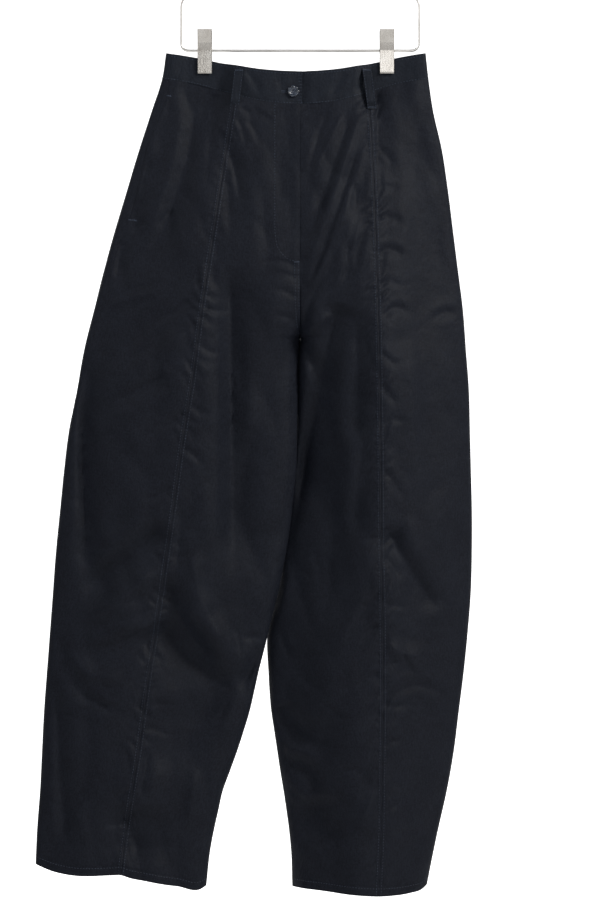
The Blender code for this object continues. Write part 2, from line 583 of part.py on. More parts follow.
def build_button(material):
    """A four-hole button with a raised rim and a dished middle, just clear of the band."""
    profile = table(
        "radius height",
        (0.0, 1.7), (3.4, 1.9), (4.6, 2.6), (5.4, 3.3), (6.4, 3.5), (7.2, 3.0), (7.7, 2.0), (7.5, 0.9),
        (6.6, 0.0), (0.0, 0.0),
    )
    base = -(surface_y(RIGHT, False, BUTTON_OUT, BUTTON_DROP) + BAND_PROUD + 1.0)
    sides = 28
    points, faces, rings = [], [], []
    for radius, height in zip(profile["radius"], profile["height"]):
        if radius == 0:
            rings.append([len(points)] * sides)
            points.append((-BUTTON_OUT, base - height, -BUTTON_DROP))
            continue
        rings.append([len(points) + i for i in range(sides)])
        for i in range(sides):
            angle = 2 * math.pi * i / sides
            points.append((
                -BUTTON_OUT + radius * math.cos(angle), base - height, -BUTTON_DROP + radius * math.sin(angle),
            ))
    for upper, lower in zip(rings, rings[1:]):
        for i in range(sides):
            j = (i + 1) % sides
            corners = [upper[i], upper[j], lower[j], lower[i]]
            face = [v for k, v in enumerate(corners) if v != corners[k - 1]]
            faces.append(face)
    button = mesh_object("button", points, faces, material)
    for x, z in ((-1.3, -1.3), (1.3, -1.3), (1.3, 1.3), (-1.3, 1.3)):
        drill_button(button, -BUTTON_OUT + x, base, -BUTTON_DROP + z, material)


def drill_button(button, x, y, z, material):
    """One thread hole, 1.6 mm across."""
    angles = [2 * math.pi * i / 10 for i in range(10)]
    points = [(x + 0.8 * math.cos(a), y + offset, z + 0.8 * math.sin(a)) for offset in (-6, 2) for a in angles]
    faces = [tuple(range(10)), tuple(range(10, 20))[::-1]]
    faces += [(i + 10, (i + 1) % 10 + 10, (i + 1) % 10, i) for i in range(10)]
    drill = mesh_object("drill", points, faces, material)
    cut = button.modifiers.new("hole", "BOOLEAN")
    cut.operation = "DIFFERENCE"
    cut.solver = "EXACT"
    cut.object = drill
    graph = bpy.context.evaluated_depsgraph_get()
    mesh = bpy.data.meshes.new_from_object(button.evaluated_get(graph))
    button.modifiers.clear()
    button.data = mesh
    bpy.data.objects.remove(drill)


def tube(name, path, radius, sides, material):
    """A round wire along a path, its ends closed."""
    path = np.asarray(path, float)
    along = unit(np.gradient(path, axis=0))
    across = np.array([0.0, 1.0, 0.0])
    points, faces = [], []
    for centre, direction in zip(path, along):
        side = unit(np.cross(direction, across))
        other = np.cross(side, direction)
        for i in range(sides):
            angle = 2 * math.pi * i / sides
            points.append(centre + radius * (side * math.cos(angle) + other * math.sin(angle)))
    for r in range(len(path) - 1):
        for i in range(sides):
            j = (i + 1) % sides
            faces.append((r * sides + i, r * sides + j, (r + 1) * sides + j, (r + 1) * sides + i))
    last = (len(path) - 1) * sides
    faces.append(tuple(range(sides))[::-1])
    faces.append(tuple(last + i for i in range(sides)))
    return mesh_object(name, points, faces, material)


def rounded_path(corners, radius):
    """A flat path in x and drop with its corners rounded."""
    corners = [np.array(corner, float) for corner in corners]
    path = [corners[0]]
    for before, corner, after in zip(corners, corners[1:], corners[2:]):
        to_before = unit(before - corner)
        to_after = unit(after - corner)
        half = math.acos(float(np.clip(np.dot(to_before, to_after), -1, 1))) / 2
        reach = min(radius / math.tan(half), 0.45 * np.linalg.norm(before - corner))
        start, end = corner + to_before * reach, corner + to_after * reach
        for t in np.linspace(0, 1, 7):
            path.append(start * (1 - t) ** 2 + corner * 2 * t * (1 - t) + end * t * t)
    path.append(corners[-1])
    return [(x, 0.0, -drop) for x, drop in path]


def build_hanger(material):
    """The wire frame, bar at its foot, and the hook with its collar."""
    corners = [
        (-2.6, NECK_DROP + 4), (-FRAME_HALF, FRAME_TOP_DROP), (-FRAME_HALF, BAR_DROP),
        (FRAME_HALF, BAR_DROP), (FRAME_HALF, FRAME_TOP_DROP), (2.6, NECK_DROP + 4),
    ]
    tube("hanger_frame", rounded_path(corners, 11.0), WIRE, 10, material)
    middle = HOOK_RADIUS
    reach = HOOK_RADIUS + WIRE
    path = [(0.0, NECK_DROP + 10), (0.0, NECK_DROP + 4), (0.0, middle + 36), (1.5, middle + 31), (6.5, middle + 25.5)]
    for angle in np.radians(np.linspace(-52, 182, 22)):
        path.append((reach * math.cos(angle), middle - reach * math.sin(angle)))
    path.append((-reach, middle + 6))
    path.append((-reach - 1.5, middle + 12))
    tube("hanger_hook", [(x, 0.0, -drop) for x, drop in path], WIRE, 10, material)


def build_jaw(name, x, facing, material):
    """One pressed jaw plate, its foot turned in over the rubber lip."""
    rows = table(
        "drop reach",
        (CLIP_TOP_DROP, 11.5), (CLIP_TOP_DROP + 8, 9.0), (CLIP_TOP_DROP + 17, 6.2), (BAR_DROP, 4.3),
        (BAR_DROP + 10, 4.8), (CLIP_END_DROP - 11, 5.2), (CLIP_END_DROP - 2, 5.2), (CLIP_END_DROP, 4.8),
    )
    outside, inside = [], []
    halves = (-9.5, -8.9, -3.0, 3.0, 8.9, 9.5)
    drops = (0.9, 0.0, 0.0, 0.0, 0.0, 0.9)
    for drop, reach in zip(rows["drop"], rows["reach"]):
        outside.append([(x + h, facing * (reach + 1.4 - d), -drop) for h, d in zip(halves, drops)])
        inside.append([(x + h, facing * reach, -drop) for h in halves])
    return wall(name, np.array(outside), np.array(inside), material)


def build_lip(name, x, facing, material):
    """The rubber pad between a jaw and the band, 0.3 mm clear of both."""
    near, far = PINCH_DEPTH + BAND_PROUD + SEAM_GAP, 4.9
    rows = [(CLIP_END_DROP - 11.0, 0.0), (CLIP_END_DROP - 2.5, 0.0)]
    outside = [[(x + h, facing * far, -drop) for h in (-8.8, 8.8)] for drop, _ in rows]
    inside = [[(x + h, facing * near, -drop) for h in (-8.8, 8.8)] for drop, _ in rows]
    return wall(name, np.array(outside), np.array(inside), material)


def build_spring(name, x, material):
    """The spring's barrel round the bar."""
    sides, half = 14, 6.5
    points, faces = [], []
    for offset, radius in ((-half, 2.15), (-half, 3.9), (half, 3.9), (half, 2.15)):
        for i in range(sides):
            angle = 2 * math.pi * i / sides
            points.append((x + offset, radius * math.cos(angle), -BAR_DROP + radius * math.sin(angle)))
    for ring in range(4):
        for i in range(sides):
            j = (i + 1) % sides
            nxt = (ring + 1) % 4
            faces.append((ring * sides + i, ring * sides + j, nxt * sides + j, nxt * sides + i))
    return mesh_object(name, points, faces, material)


def build_clips(metal, rubber):
    for label, x in (("right", -CLIP_OUT[RIGHT]), ("left", CLIP_OUT[LEFT])):
        for face, facing in (("front", -1), ("back", 1)):
            build_jaw(f"clip_{label}_jaw_{face}", x, facing, metal)
            build_lip(f"clip_{label}_lip_{face}", x, facing, rubber)
        build_spring(f"clip_{label}_spring", x, metal)


def finish(name, colour, roughness, metallic=0.0):
    """A plain material in linear colour."""
    material = bpy.data.materials.new(name)
    material.use_nodes = True
    shader = material.node_tree.nodes["Principled BSDF"]
    shader.inputs["Base Color"].default_value = (*colour, 1)
    shader.inputs["Roughness"].default_value = roughness
    shader.inputs["Metallic"].default_value = metallic
    return material


def build_panels():
    turns = {}
    for side, label in ((RIGHT, "right"), (LEFT, "left")):
        grid = side_grid(side)
        turns[side] = section_turns(side, 0.0)
        seam = FRONT_CENTRE_COLUMNS
        edge = seam + FRONT_SIDE_COLUMNS
        for name, first, last in (
            (f"front_centre_{label}", 0, seam),
            (f"front_side_{label}", seam, edge),
            (f"back_{label}", edge, edge + BACK_COLUMNS),
        ):
            panel(name, grid, first, last, finish(name, (0.012, 0.013, 0.018), 0.6))
    return turns


def build():
    for obj in list(bpy.data.objects):
        bpy.data.objects.remove(obj)
    turns = build_panels()
    build_waistbands(turns, finish("band_cotton", (0.014, 0.015, 0.020), 0.6))
    build_loops(finish("loop_cotton", (0.013, 0.014, 0.019), 0.6))
    build_button(finish("button_plastic", (0.018, 0.022, 0.032), 0.25))
    metal = finish("hanger_steel", (0.55, 0.54, 0.52), 0.35, 1.0)
    build_hanger(metal)
    build_clips(finish("clip_steel", (0.50, 0.49, 0.47), 0.35, 1.0), finish("lip_rubber", (0.05, 0.05, 0.05), 0.7))


build()
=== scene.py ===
"""Baggy trousers on a clip hanger: the finish of every piece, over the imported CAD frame."""

import math

import bpy
import numpy as np
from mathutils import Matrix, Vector
from mathutils.bvhtree import BVHTree


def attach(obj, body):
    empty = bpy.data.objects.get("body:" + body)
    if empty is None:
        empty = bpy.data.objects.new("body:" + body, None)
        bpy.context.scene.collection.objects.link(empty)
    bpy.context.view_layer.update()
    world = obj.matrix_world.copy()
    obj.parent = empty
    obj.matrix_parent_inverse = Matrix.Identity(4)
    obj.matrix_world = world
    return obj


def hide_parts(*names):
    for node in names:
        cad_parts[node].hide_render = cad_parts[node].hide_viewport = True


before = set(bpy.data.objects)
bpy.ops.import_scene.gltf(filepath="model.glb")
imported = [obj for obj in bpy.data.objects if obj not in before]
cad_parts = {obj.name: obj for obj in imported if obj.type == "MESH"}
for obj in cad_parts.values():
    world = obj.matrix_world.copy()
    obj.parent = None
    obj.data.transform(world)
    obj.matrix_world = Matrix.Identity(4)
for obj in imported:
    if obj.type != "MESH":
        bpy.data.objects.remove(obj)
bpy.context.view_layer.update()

# The trousers are cut in six panels of crisp cotton: two fronts a side, joined by a long shaped seam, and
# plain backs. They hang from the waist, pressed flat by the clips, open at the hips, and full in the legs.
# Lengths here are millimetres, drop is the distance below the hook, and right and left are the wearer's.
RIGHT, LEFT = 1, 2
PIXEL, MIDDLE_X, HOOK_Y = 1.3, 300, -87     # the photo's pixel in millimetres, its middle and the hook in it


def table(columns, *rows):
    """A table with named columns, as one array a column."""
    return {name: np.array(values) for name, values in zip(columns.split(), zip(*rows))}


def across_at(x, digits=1):
    """How far the photo's column x is from the middle, to the wearer's left."""
    return round((x - MIDDLE_X) * PIXEL, digits)


def drop_at(y, digits=1):
    """The drop of the photo's row y."""
    return round((y - HOOK_Y) * PIXEL, digits)


def line_down(name, toward, *places):
    """A line down the photo by its (y, x), as drops and distances from the middle toward one side."""
    return table(f"drop {name}", *((drop_at(y), toward * across_at(x)) for y, x in places))


def line_across(name, *places):
    """A line across one side by its (share of the way from the middle to the outline, y)."""
    return table(f"across {name}", *((share, drop_at(y)) for share, y in places))


OUTLINE_RIGHT = line_down(
    "outer", -1,
    (53, 166), (79, 162), (110, 152), (150, 139), (190, 127), (230, 115), (270, 104), (310, 94), (350, 84),
    (390, 77), (430, 69), (470, 64), (510, 60), (550, 56), (590, 53), (630, 50), (670, 47), (710, 44),
    (750, 42), (790, 40), (830, 37), (866, 35.5),
)
OUTLINE_LEFT = line_down(
    "outer", 1,
    (53, 425.7), (79, 428.5), (110, 433), (150, 442), (190, 448), (230, 453), (270, 458), (310, 463),
    (350, 466), (390, 469), (430, 470), (470, 471), (510, 472), (550, 472), (590, 471), (630, 468),
    (670, 464), (710, 459), (750, 454), (790, 447), (830, 438), (866, 430.5), (884, 427),
)

# Inner edge of each leg. The left leg's runs behind the right leg
INSIDE_RIGHT = line_down(
    "inner", -1,
    (338, 299.9), (346, 299.4), (356, 298.8), (400, 297.7), (448, 297), (463, 296.8), (500, 293.3),
    (531, 289.6), (560, 284.8), (587, 279.6), (620, 271.5), (648, 264.6), (670, 259), (690, 254.5),
    (710, 250), (730, 244), (750, 237.5), (770, 230.3), (790, 223), (810, 218.5), (830, 214), (850, 210.3),
    (884, 206.5),
)
INSIDE_LEFT = line_down(
    "inner", 1,
    (338, 300.1), (346, 299.1), (356, 298), (374.54, 296.9), (400, 295.54), (448, 293.85), (463, 293.1),
    (480, 291.54), (500, 289.2), (531, 285.5), (560, 281), (587, 276.5), (620, 269.5), (640, 267),
    (655, 267.3), (670, 268.2), (690, 269.3), (710, 271), (730, 274), (750, 277), (770, 280), (790, 283.3),
    (810, 286.3), (830, 289), (850, 291), (886, 292.2),
)

# The long front seam of each side
SEAM_RIGHT = line_down(
    "seam", -1,
    (104, 234), (174, 223), (241, 213), (314, 202), (376, 194), (438, 184), (526, 172), (599, 161),
    (679, 149), (766, 137), (827, 127), (872, 121.5),
)
SEAM_LEFT = line_down(
    "seam", 1,
    (104, 369), (174, 373), (231, 375), (289, 376.7), (376, 378.6), (453, 379.6), (530, 380), (647, 382),
    (712, 382), (777, 381), (842, 380), (891, 377.7),
)

# How far the right side seam lies in front of the outline, in pixels at each y
SIDE_SEAM_RIGHT = table("drop ahead", *((drop_at(y), round(ahead * PIXEL, 1)) for y, ahead in (
    (79, 6.5), (95, 9), (147, 7), (220, 10), (240, 7.5), (287, 7), (323, 6), (357, 5), (390, 2), (430, -1),
    (866, -2),
)))

# Band top, waist seam and hems
BAND = line_across(
    "top",
    (0, 72), (0.16, 71.2), (0.3, 69.6), (0.47, 66), (0.66, 61.2), (0.77, 58), (1, 53.2),
)
WAIST = line_across(
    "drop",
    (0, 104.8), (0.12, 104.3), (0.34, 100.4), (0.51, 94), (0.75, 84.6), (1, 79),
)
HEM_RIGHT = line_across(
    "drop",
    (0, 884.5), (0.03, 887.5), (0.165, 885), (0.335, 879.5), (0.44, 876), (0.5, 873), (0.56, 873.5),
    (0.81, 873), (0.9, 870), (1, 863.5),
)
HEM_LEFT = line_across(
    "drop",
    (0, 886), (0.22, 888), (0.43, 890.5), (0.88, 890.5), (0.96, 888), (1, 884),
)

# Half depths from the middle plane in millimetres at each y, the radius of the folded edges, and how far a
# leg leads the other
DEPTH_COLUMNS = "drop centre front_right back_right front_left back_left tip lead"
DEPTHS = table(DEPTH_COLUMNS, *((drop_at(y), *depths) for y, *depths in (
    (53, 12, 12, 12, 12, 12, 4, 0), (104, 13, 14, 14, 14, 14, 4.2, 0), (130, 16, 18, 20, 19, 21, 5, 0),
    (170, 24, 25, 29, 28, 31, 6, 0), (210, 31, 31, 37, 37, 41, 7, 0), (250, 37, 36, 43, 44, 49, 7, 0),
    (300, 42, 40, 47, 51, 56, 7, 0), (337, 44, 42, 48, 55, 60, 7, 0), (338, 44, 42, 48, 55, 60, 7, 0),
    (350, 44, 42, 47, 57, 61, 7, 0.3), (400, 44, 42, 45, 60, 63, 7, 5), (448, 44, 42, 44, 62, 64, 7, 9),
    (480, 44, 41, 42, 63, 65, 7, 9), (560, 44, 38, 38, 63, 63, 7, 9), (640, 44, 34, 34, 60, 60, 7, 9),
    (720, 44, 30, 30, 56, 56, 7, 7), (800, 44, 25, 25, 53, 53, 7, 5), (886, 44, 20, 20, 50, 50, 7, 4),
)))

# Folds: a line on the photo through three places (x, y), its width in millimetres to the left and right as it
# runs down, its depth (minus is a ridge), and the shares of its length over which it comes and goes
FOLD_COLUMNS = "side x1 d1 x2 d2 x3 d3 left right depth start end"
LONG_FOLD, SHORT_FOLD = 250, 60      # in pixels down the photo
STEEPEST = {"ridge": 0.55, "long": 1.5, "middling": 1.05, "short": 0.8}     # depth to the narrower width


def drawn_folds(strength, *rows):
    """Folds drawn on the photo, made this much deeper, with none steeper than a fold of its kind can be."""
    folds = []
    for *_, side, first, middle, last, left, right, depth, start, end in rows:
        down = abs(last[1] - first[1])
        kind = "long" if down > LONG_FOLD else "middling" if down > SHORT_FOLD else "short"
        limit = round(STEEPEST["ridge" if depth < 0 else kind] * min(left, right), 1)
        places = [value for x, y in (first, middle, last) for value in (across_at(x, 0), drop_at(y, 0))]
        folds.append((side, *places, left, right, max(-limit, min(limit, strength * depth)), start, end))
    return table(FOLD_COLUMNS, *folds)


FOLDS_FRONT = drawn_folds(
    1.12,
    ("clip trough", 1, (193, 93), (183, 178), (127, 307), 11, 17, 7, 0, 0.4),
    ("clip ridge", 1, (180, 110), (166, 190), (138, 262), 8, 8, -1.8, 0.3, 0.4),
    ("beside loop", 1, (214, 95), (210, 150), (205, 220), 9, 14, 4, 0.02, 0.45),
    ("seam hollow", 1, (227, 148), (236, 176), (243, 222), 4, 8, 3.5, 0.25, 0.4),
    ("front hollow", 1, (229, 130), (229, 185), (231, 250), 15, 20, 6, 0.2, 0.35),
    ("inner right", 1, (262, 186), (265, 218), (267, 252), 8, 9, 2, 0.3, 0.35),
    ("fly hollow", 1, (281, 116), (280, 180), (281, 246), 11, 14, 1.0, 0.2, 0.25),
    ("front crease", 1, (230, 268), (232, 420), (233, 600), 17, 32, 16, 0.12, 0.25),
    ("front ridge", 1, (220, 285), (218, 420), (215, 565), 9, 8, -2.2, 0.2, 0.2),
    ("edge trough", 1, (84, 358), (83, 470), (91, 592), 10, 15, 10.5, 0.15, 0.2),
    ("edge ridge", 1, (77, 370), (75, 460), (80, 545), 6, 5, -2.0, 0.3, 0.3),
    ("thigh sweep", 1, (168, 372), (143, 388), (112, 403), 7, 12, 5, 0.3, 0.35),
    ("thigh ridge", 1, (190, 330), (160, 352), (122, 382), 12, 10, -4.5, 0.3, 0.35),
    ("hip crease a", 1, (163, 291), (136, 298), (104, 306), 5, 5, -2.2, 0.3, 0.35),
    ("hip crease b", 1, (170, 316), (150, 338), (128, 358), 6, 6, -2.2, 0.3, 0.35),
    ("pocket end", 1, (121, 240), (119, 262), (116, 290), 5, 9, 3.2, 0.15, 0.4),
    ("knee sweep", 1, (168, 522), (128, 556), (78, 600), 13, 26, 12, 0.15, 0.25),
    ("knee ridge", 1, (158, 566), (122, 594), (77, 624), 10, 12, -5, 0.25, 0.3),
    ("shin sweep", 1, (152, 626), (118, 642), (84, 654), 9, 22, 5.5, 0.3, 0.3),
    ("shin ridge", 1, (64, 640), (94, 674), (134, 664), 8, 9, -4.5, 0.25, 0.3),
    ("shin hollow", 1, (68, 670), (90, 698), (126, 708), 8, 7, 4.0, 0.3, 0.3),
    ("inner sweep a", 1, (158, 618), (190, 660), (240, 694), 70, 20, 19, 0.15, 0.2),
    ("inner sweep b", 1, (166, 572), (186, 626), (226, 670), 34, 13, 12, 0.2, 0.3),
    ("inner ridge", 1, (188, 530), (206, 606), (236, 652), 12, 11, -6, 0.25, 0.3),
    ("seam dark", 1, (179, 498), (180, 538), (176, 574), 6, 12, 4.0, 0.3, 0.3),
    ("inner notch", 1, (266, 648), (252, 668), (236, 692), 9, 8, 6.5, 0.1, 0.35),
    ("low hollow", 1, (168, 690), (172, 738), (176, 790), 60, 60, 10, 0.35, 0.4),
    ("low ridge", 1, (147, 790), (159, 774), (173, 764), 8, 7, -1.5, 0.3, 0.3),
    ("low pucker", 1, (150, 742), (146, 768), (139, 802), 4, 6, 3.5, 0.3, 0.35),
    ("hem hollow", 1, (136, 800), (137, 836), (138, 866), 40, 40, 12, 0.3, 0.4),
    ("hem ridge", 1, (197, 762), (193, 796), (187, 834), 7, 7, -3.2, 0.3, 0.35),
    ("edge crease", 1, (57, 676), (61, 770), (67, 850), 7, 11, 5.5, 0.2, 0.25),
    ("seam side", 2, (377, 95), (378, 135), (377, 184), 4, 10, 3.5, 0.02, 0.4),
    ("fan ridge 1", 2, (363, 104), (335, 190), (303, 273), 8, 8, -2.4, 0.08, 0.2),
    ("fan ridge 2", 2, (367, 140), (341, 214), (306, 306), 8, 9, -2.4, 0.12, 0.2),
    ("fan ridge 3", 2, (368, 180), (348, 236), (334, 326), 8, 9, -2.4, 0.15, 0.3),
    ("fan trough 1", 2, (350, 118), (331, 176), (306, 246), 6, 5, 3.5, 0.12, 0.3),
    ("fan trough 2", 2, (357, 148), (335, 216), (306, 290), 5, 5, 3.5, 0.12, 0.25),
    ("fan patch a", 2, (354, 182), (355, 203), (350, 226), 6, 11, 4.6, 0.3, 0.35),
    ("fan patch b", 2, (348, 238), (347, 262), (341, 290), 6, 10, 4.6, 0.3, 0.35),
    ("crotch trough", 2, (302, 330), (313, 298), (334, 264), 5, 5, 3.0, 0.1, 0.4),
    ("crotch ridge", 2, (303, 340), (320, 322), (346, 312), 6, 6, -3.2, 0.15, 0.4),
    ("crotch fold", 2, (302, 346), (313, 366), (326, 396), 6, 8, 4.5, 0.1, 0.4),
    ("inner break", 2, (338, 304), (317, 402), (293, 542), 12, 32, 11, 0.08, 0.25),
    ("seam trough", 2, (358, 312), (357, 385), (358, 448), 12, 18, 9, 0.25, 0.2),
    ("seam sharp", 2, (363, 436), (358, 490), (356, 548), 8, 14, 4.0, 0.2, 0.3),
    ("side trough", 2, (413, 100), (418, 300), (432, 540), 24, 26, 3.2, 0.1, 0.2),
    ("side ridge", 2, (399, 116), (402, 196), (404, 290), 12, 12, -2, 0.2, 0.3),
    ("side ridge low", 2, (406, 345), (412, 410), (416, 486), 12, 12, -3, 0.3, 0.3),
    ("dent a", 2, (377, 257), (391, 251), (407, 262), 7, 5, 4.5, 0.15, 0.4),
    ("dent b", 2, (381, 320), (396, 308), (412, 321), 7, 5, 4.5, 0.2, 0.4),
    ("dent c", 2, (431, 324), (445, 312), (460, 318), 7, 5, 4.5, 0.3, 0.3),
    ("side sweep", 2, (385, 523), (414, 578), (442, 612), 26, 12, 10, 0.1, 0.3),
    ("side sweep ridge", 2, (384, 638), (404, 652), (430, 654), 9, 10, -4.5, 0.25, 0.3),
    ("inner light", 2, (368, 588), (352, 612), (338, 652), 8, 8, -3.2, 0.25, 0.35),
    ("inner hollow", 2, (334, 470), (330, 560), (326, 650), 14, 28, 6, 0.3, 0.3),
    ("calf sweep a", 2, (276, 706), (290, 725), (315, 744), 11, 16, 10, 0.08, 0.35),
    ("calf ridge", 2, (283, 747), (304, 750), (327, 760), 8, 8, -3.8, 0.15, 0.35),
    ("calf sweep b", 2, (286, 768), (308, 770), (316, 808), 9, 8, 5, 0.15, 0.3),
    ("hem hollow", 2, (312, 792), (316, 818), (324, 850), 24, 28, 10, 0.3, 0.3),
    ("hem light", 2, (373, 782), (369, 800), (361, 818), 6, 6, -2.8, 0.3, 0.3),
    ("side low", 2, (391, 694), (420, 684), (453, 703), 6, 6, 2.6, 0.25, 0.35),
)

# Small creases between them
CREASES_FRONT = drawn_folds(
    1.35,
    (1, (206, 88), (203, 110), (198, 140), 3, 4, 1.6, 0.05, 0.5),
    (1, (241, 108), (250, 114), (263, 119), 3, 3, 1.3, 0.1, 0.4),
    (1, (252, 108), (262, 116), (276, 125), 3, 3, 1.2, 0.1, 0.4),
    (1, (247, 122), (255, 134), (262, 152), 3, 4, 1.2, 0.2, 0.4),
    (1, (236, 118), (243, 134), (247, 150), 3, 4, 1.5, 0.2, 0.4),
    (1, (150, 160), (146, 172), (139, 190), 3, 3, 1.0, 0.3, 0.3),
    (1, (158, 176), (148, 182), (141, 196), 3, 3, 0.9, 0.3, 0.3),
    (1, (176, 210), (168, 216), (158, 228), 4, 3, 1.0, 0.3, 0.3),
    (1, (133, 234), (138, 226), (147, 222), 3, 4, 1.3, 0.2, 0.4),
    (1, (296, 268), (279, 262), (258, 266), 3, 4, 1.3, 0.1, 0.4),
    (1, (297, 280), (276, 276), (256, 286), 4, 3, 1.3, 0.1, 0.4),
    (1, (296, 300), (284, 292), (266, 292), 4, 4, 1.3, 0.1, 0.4),
    (1, (297, 326), (286, 318), (268, 318), 4, 4, 1.6, 0.05, 0.4),
    (1, (246, 300), (250, 370), (249, 450), 6, 10, -1.8, 0.3, 0.3),
    (1, (204, 306), (216, 312), (230, 309), 4, 5, 1.8, 0.1, 0.4),
    (1, (190, 300), (176, 312), (160, 318), 4, 5, 1.6, 0.1, 0.4),
    (1, (198, 342), (210, 352), (224, 352), 4, 5, 1.6, 0.1, 0.4),
    (1, (186, 412), (170, 424), (152, 436), 5, 4, 1.8, 0.1, 0.4),
    (1, (190, 404), (202, 412), (214, 412), 4, 5, 1.6, 0.1, 0.4),
    (1, (183, 448), (196, 456), (206, 470), 4, 5, 2.0, 0.1, 0.4),
    (1, (160, 362), (161, 374), (160, 386), 2, 3, 1.0, 0.3, 0.3),
    (1, (165, 374), (167, 386), (168, 397), 2, 3, 1.0, 0.3, 0.3),
    (1, (172, 486), (158, 496), (142, 500), 5, 4, 1.8, 0.1, 0.4),
    (1, (90, 512), (96, 530), (99, 548), 3, 4, 1.6, 0.3, 0.3),
    (1, (92, 540), (104, 546), (118, 540), 4, 3, 1.6, 0.3, 0.4),
    (1, (146, 590), (132, 600), (118, 604), 4, 3, 1.8, 0.2, 0.4),
    (1, (150, 606), (134, 616), (112, 622), 4, 3, 1.6, 0.2, 0.4),
    (1, (150, 664), (140, 676), (126, 684), 4, 4, 1.8, 0.1, 0.4),
    (1, (96, 690), (104, 704), (116, 712), 3, 4, 1.2, 0.3, 0.4),
    (1, (60, 708), (72, 716), (86, 718), 3, 4, 1.0, 0.3, 0.4),
    (1, (130, 700), (142, 708), (150, 722), 3, 4, 1.6, 0.3, 0.4),
    (1, (146, 706), (160, 702), (176, 704), 3, 4, 1.6, 0.2, 0.4),
    (1, (145, 726), (158, 728), (172, 738), 4, 4, 1.6, 0.2, 0.4),
    (1, (138, 780), (128, 790), (112, 796), 4, 4, 1.5, 0.2, 0.4),
    (1, (130, 815), (118, 822), (102, 824), 4, 4, 1.4, 0.2, 0.4),
    (1, (70, 822), (80, 836), (84, 852), 3, 4, 1.0, 0.3, 0.4),
    (1, (196, 846), (204, 838), (210, 826), 3, 3, 1.4, 0.3, 0.2),
    (1, (230, 700), (222, 712), (216, 730), 3, 4, 1.6, 0.2, 0.4),
    (1, (262, 640), (254, 636), (240, 640), 4, 3, 1.5, 0.1, 0.4),
    (1, (232, 620), (238, 640), (242, 664), 4, 4, 2.0, 0.3, 0.4),
    (1, (206, 560), (204, 580), (205, 604), 4, 4, 1.6, 0.3, 0.4),
    (2, (330, 112), (316, 146), (306, 190), 4, 3, 1.5, 0.2, 0.4),
    (2, (346, 112), (325, 150), (311, 196), 3, 3, -1.2, 0.2, 0.4),
    (2, (362, 214), (344, 268), (322, 300), 3, 4, -1.8, 0.2, 0.4),
    (2, (366, 232), (358, 254), (356, 280), 3, 4, 1.6, 0.2, 0.4),
    (2, (330, 240), (318, 266), (308, 286), 3, 3, 1.6, 0.2, 0.4),
    (2, (379, 150), (388, 158), (394, 170), 4, 4, 1.5, 0.1, 0.4),
    (2, (380, 190), (390, 188), (402, 196), 4, 4, 1.4, 0.1, 0.4),
    (2, (378, 222), (392, 220), (404, 228), 4, 5, 1.6, 0.1, 0.4),
    (2, (380, 288), (392, 284), (404, 292), 4, 5, 1.6, 0.1, 0.4),
    (2, (380, 352), (390, 362), (402, 366), 5, 4, 1.8, 0.1, 0.4),
    (2, (381, 384), (390, 398), (398, 404), 5, 4, 1.8, 0.1, 0.4),
    (2, (381, 426), (394, 420), (406, 428), 4, 5, 1.6, 0.1, 0.4),
    (2, (382, 470), (394, 484), (404, 506), 5, 5, 2.2, 0.1, 0.4),
    (2, (383, 556), (392, 566), (400, 582), 4, 5, 2.0, 0.1, 0.4),
    (2, (384, 604), (396, 604), (408, 610), 4, 5, 1.8, 0.1, 0.4),
    (2, (383, 668), (392, 660), (402, 662), 4, 4, 1.6, 0.1, 0.4),
    (2, (383, 700), (396, 704), (412, 698), 4, 4, 1.5, 0.1, 0.4),
    (2, (382, 742), (394, 738), (404, 742), 4, 4, 1.5, 0.1, 0.4),
    (2, (380, 812), (390, 804), (400, 800), 4, 4, 1.5, 0.1, 0.4),
    (2, (378, 622), (366, 634), (358, 650), 4, 4, 1.8, 0.1, 0.4),
    (2, (378, 672), (366, 676), (352, 688), 4, 4, 1.8, 0.1, 0.4),
    (2, (377, 596), (368, 602), (356, 604), 4, 4, 1.6, 0.1, 0.4),
    (2, (312, 548), (318, 566), (320, 590), 3, 4, 1.2, 0.3, 0.4),
    (2, (282, 634), (286, 648), (292, 660), 3, 4, 1.8, 0.2, 0.4),
    (2, (300, 668), (310, 682), (326, 690), 4, 4, 1.6, 0.3, 0.4),
    (2, (320, 700), (334, 708), (344, 722), 4, 4, 1.8, 0.3, 0.4),
    (2, (290, 786), (298, 796), (308, 800), 3, 4, 1.4, 0.2, 0.4),
    (2, (340, 770), (352, 766), (366, 770), 4, 4, 1.6, 0.3, 0.4),
    (2, (300, 852), (312, 842), (330, 842), 4, 4, 1.4, 0.3, 0.4),
    (2, (388, 838), (404, 830), (424, 832), 4, 4, 1.2, 0.3, 0.4),
    (2, (440, 594), (446, 604), (456, 608), 3, 4, 1.4, 0.3, 0.4),
    (2, (400, 640), (408, 664), (424, 682), 5, 4, 2.0, 0.2, 0.4),
)

